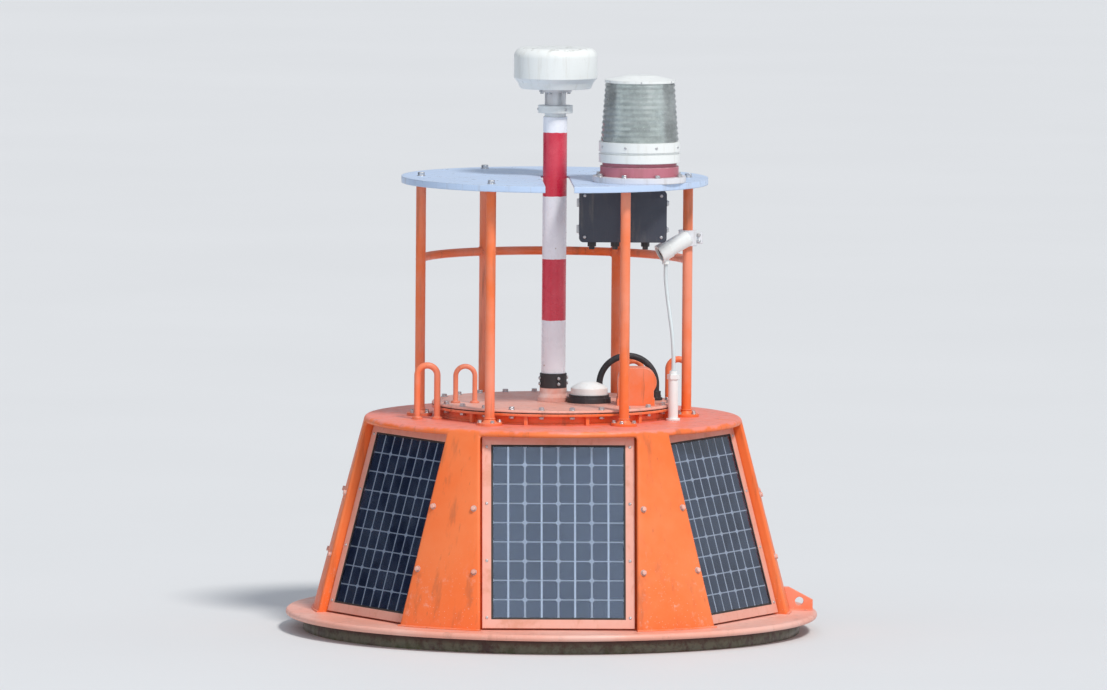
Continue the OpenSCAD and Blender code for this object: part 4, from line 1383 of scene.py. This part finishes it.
barnacle_chalk = plastic("barnacle_chalk", (0.46, 0.42, 0.35), (0.62, 0.58, 0.50), (0.16, 0.17, 0.09),
                         dirt=0.55, rough=0.80, grain=400)
CLUMPS, IN_CLUMP = 64, 9
settling = random.Random(11)
barnacle_places = []
for _ in range(CLUMPS):
    clump_share = 0.04 + 0.90 * settling.random() ** 1.4
    clump_azimuth = settling.uniform(0, 360)
    for _ in range(IN_CLUMP):
        share = min(0.99, max(0.03, settling.gauss(clump_share, 0.035)))
        radius, height, tilt = hull_point(share)
        size = settling.uniform(0.45, 1.25)
        barnacle_places.append(round_place(radius, settling.gauss(clump_azimuth, 4.0), height)
                               @ spin(tilt, "X") @ Matrix.Scale(size, 4))
settle(spread(barnacle(), barnacle_places), "barnacles", barnacle_chalk)
print("barnacles", len(barnacle_places))

# %% [markdown]
# Weed hangs from the waterline in short blades. Hair would be the usual way to make it, but hair
# doesn't export as a mesh. So one narrow grid is bent and tapered, and copied with small turns and
# sizes from the same random draws.

# %% Weed
def weed_green():
    look = Look("weed_green")
    body = look.blend(look.noise(30, 5, 0.6), (0.030, 0.055, 0.012), (0.095, 0.120, 0.030))
    tips = look.ramp(look.axis("Z"), -0.030, -0.060)
    body = look.over(body, (0.14, 0.11, 0.03), tips, 0.5)
    normal = look.bump(look.noise(160, 4, 0.6), 0.4, 0.001)
    return look.surface(body, 0.35, normal)


BLADE_W, BLADE_L, WEED_R = 0.0050, 0.046, 0.7005


def weed_blade():
    """A narrow blade that hangs from z = 0 and curls outwards."""
    clear_selection()
    bpy.ops.mesh.primitive_grid_add(x_subdivisions=2, y_subdivisions=6, size=1)
    blade = bpy.context.object
    blade.scale = (BLADE_W, BLADE_L, 1)
    bpy.ops.object.transform_apply(location=False, rotation=False, scale=True)
    blade.data.transform(spin(90, "X") @ move(y=-BLADE_L / 2))
    for vertex in blade.data.vertices:
        drop = -vertex.co.z / BLADE_L
        vertex.co.x *= 1.0 - 0.75 * drop ** 2
        vertex.co.y -= 0.010 * drop ** 2 + 0.003 * math.sin(drop * 6)
    return blade


TUFTS = 420
tuft_places = [round_place(WEED_R, settling.uniform(0, 360), -settling.uniform(0.002, 0.014))
               @ spin(settling.gauss(0, 14), "Y") @ Matrix.Scale(settling.uniform(0.45, 1.20), 4)
               for _ in range(TUFTS)]
settle(spread(weed_blade(), tuft_places), "weed", weed_green())
print("blades of weed", TUFTS)

# %% [markdown]
# The stage is a plain pale floor at the waterline. A backdrop could close the view behind it, but a
# wide floor alone reaches past the frame. Its noise is faint, so that it stays quiet behind the buoy
# and still takes a soft shadow.

# %% Floor
bpy.ops.mesh.primitive_plane_add(size=400, location=(0, 0, 0))
floor = bpy.context.object
floor.name = "floor"
floor_look = Look("floor_pale")
floor_tone = floor_look.blend(floor_look.noise(0.6, 4, 0.5), (0.70, 0.71, 0.72), (0.74, 0.75, 0.76))
floor_grain = floor_look.bump(floor_look.noise(90, 3), 0.05, 0.001)
floor.data.materials.append(floor_look.surface(floor_tone, 0.7, floor_grain, Specular_IOR_Level=0.2))
print("floor at the waterline")

# %% [markdown]
# The buoy works in open daylight from high on the right. Area lamps alone could light it, but a
# wide sun lamp gives the same soft light all over. A large cool panel in front is what the front
# glass mirrors, and a small cool lamp lights the rear right. Left of the buoy a dark card shows only
# in reflections, so that the left-hand glass looks deep and dark beside the bright front one.

# %% Lamps
def lamp(name, kind, place, energy, colour=(1, 1, 1), size=(1, 1), aim=(0, 0, 0.7), angle=0.0):
    data = bpy.data.lights.new(name, kind)
    data.energy = energy
    data.color = colour
    if kind == "AREA":
        data.shape = "RECTANGLE"
        data.size, data.size_y = size
    else:
        data.angle = math.radians(angle)
    made = bpy.data.objects.new(name, data)
    scene.collection.objects.link(made)
    made.location = place
    made.rotation_euler = (Vector(place) - Vector(aim)).to_track_quat("Z", "Y").to_euler()
    made.visible_camera = False
    return made


lamp("key", "SUN", (4, -6.5, 10.5), 2.45, (1.0, 0.97, 0.93), angle=10)
lamp("mirror_panel", "AREA", (-0.4, -12, 5.2), 130, (0.68, 0.86, 1.0), size=(5.5, 3.6), aim=(0, 0, 0.3))
lamp("rear_right", "AREA", (8.5, 4.5, 2.2), 10, (0.68, 0.84, 1.0), size=(3, 3), aim=(0, 0, 0.4))
print("lamps ready")

# %% Dark card and fill light
bpy.ops.mesh.primitive_plane_add(size=1, location=(-5.6, 3.1, 1.6))
flag = bpy.context.object
flag.name = "flag"
flag.scale = (4.5, 3.4, 1)
flag.rotation_euler = (flag.location - Vector((0, 0, 0.4))).to_track_quat("Z", "Y").to_euler()
flag.visible_camera = False
flag.visible_shadow = False
flag.visible_diffuse = False
flag_look = Look("flag_dark")
flag_tone = flag_look.blend(flag_look.noise(1.5, 3), (0.004, 0.010, 0.030), (0.008, 0.018, 0.045))
flag.data.materials.append(flag_look.surface(flag_tone, 0.9, Specular_IOR_Level=0.0))

world = bpy.data.worlds.new("studio")
scene.world = world
world.use_nodes = True
background = world.node_tree.nodes["Background"]
background.inputs["Color"].default_value = (0.80, 0.86, 0.95, 1)
background.inputs["Strength"].default_value = 0.55
scene.view_settings.view_transform = "Standard"
print("stage ready")
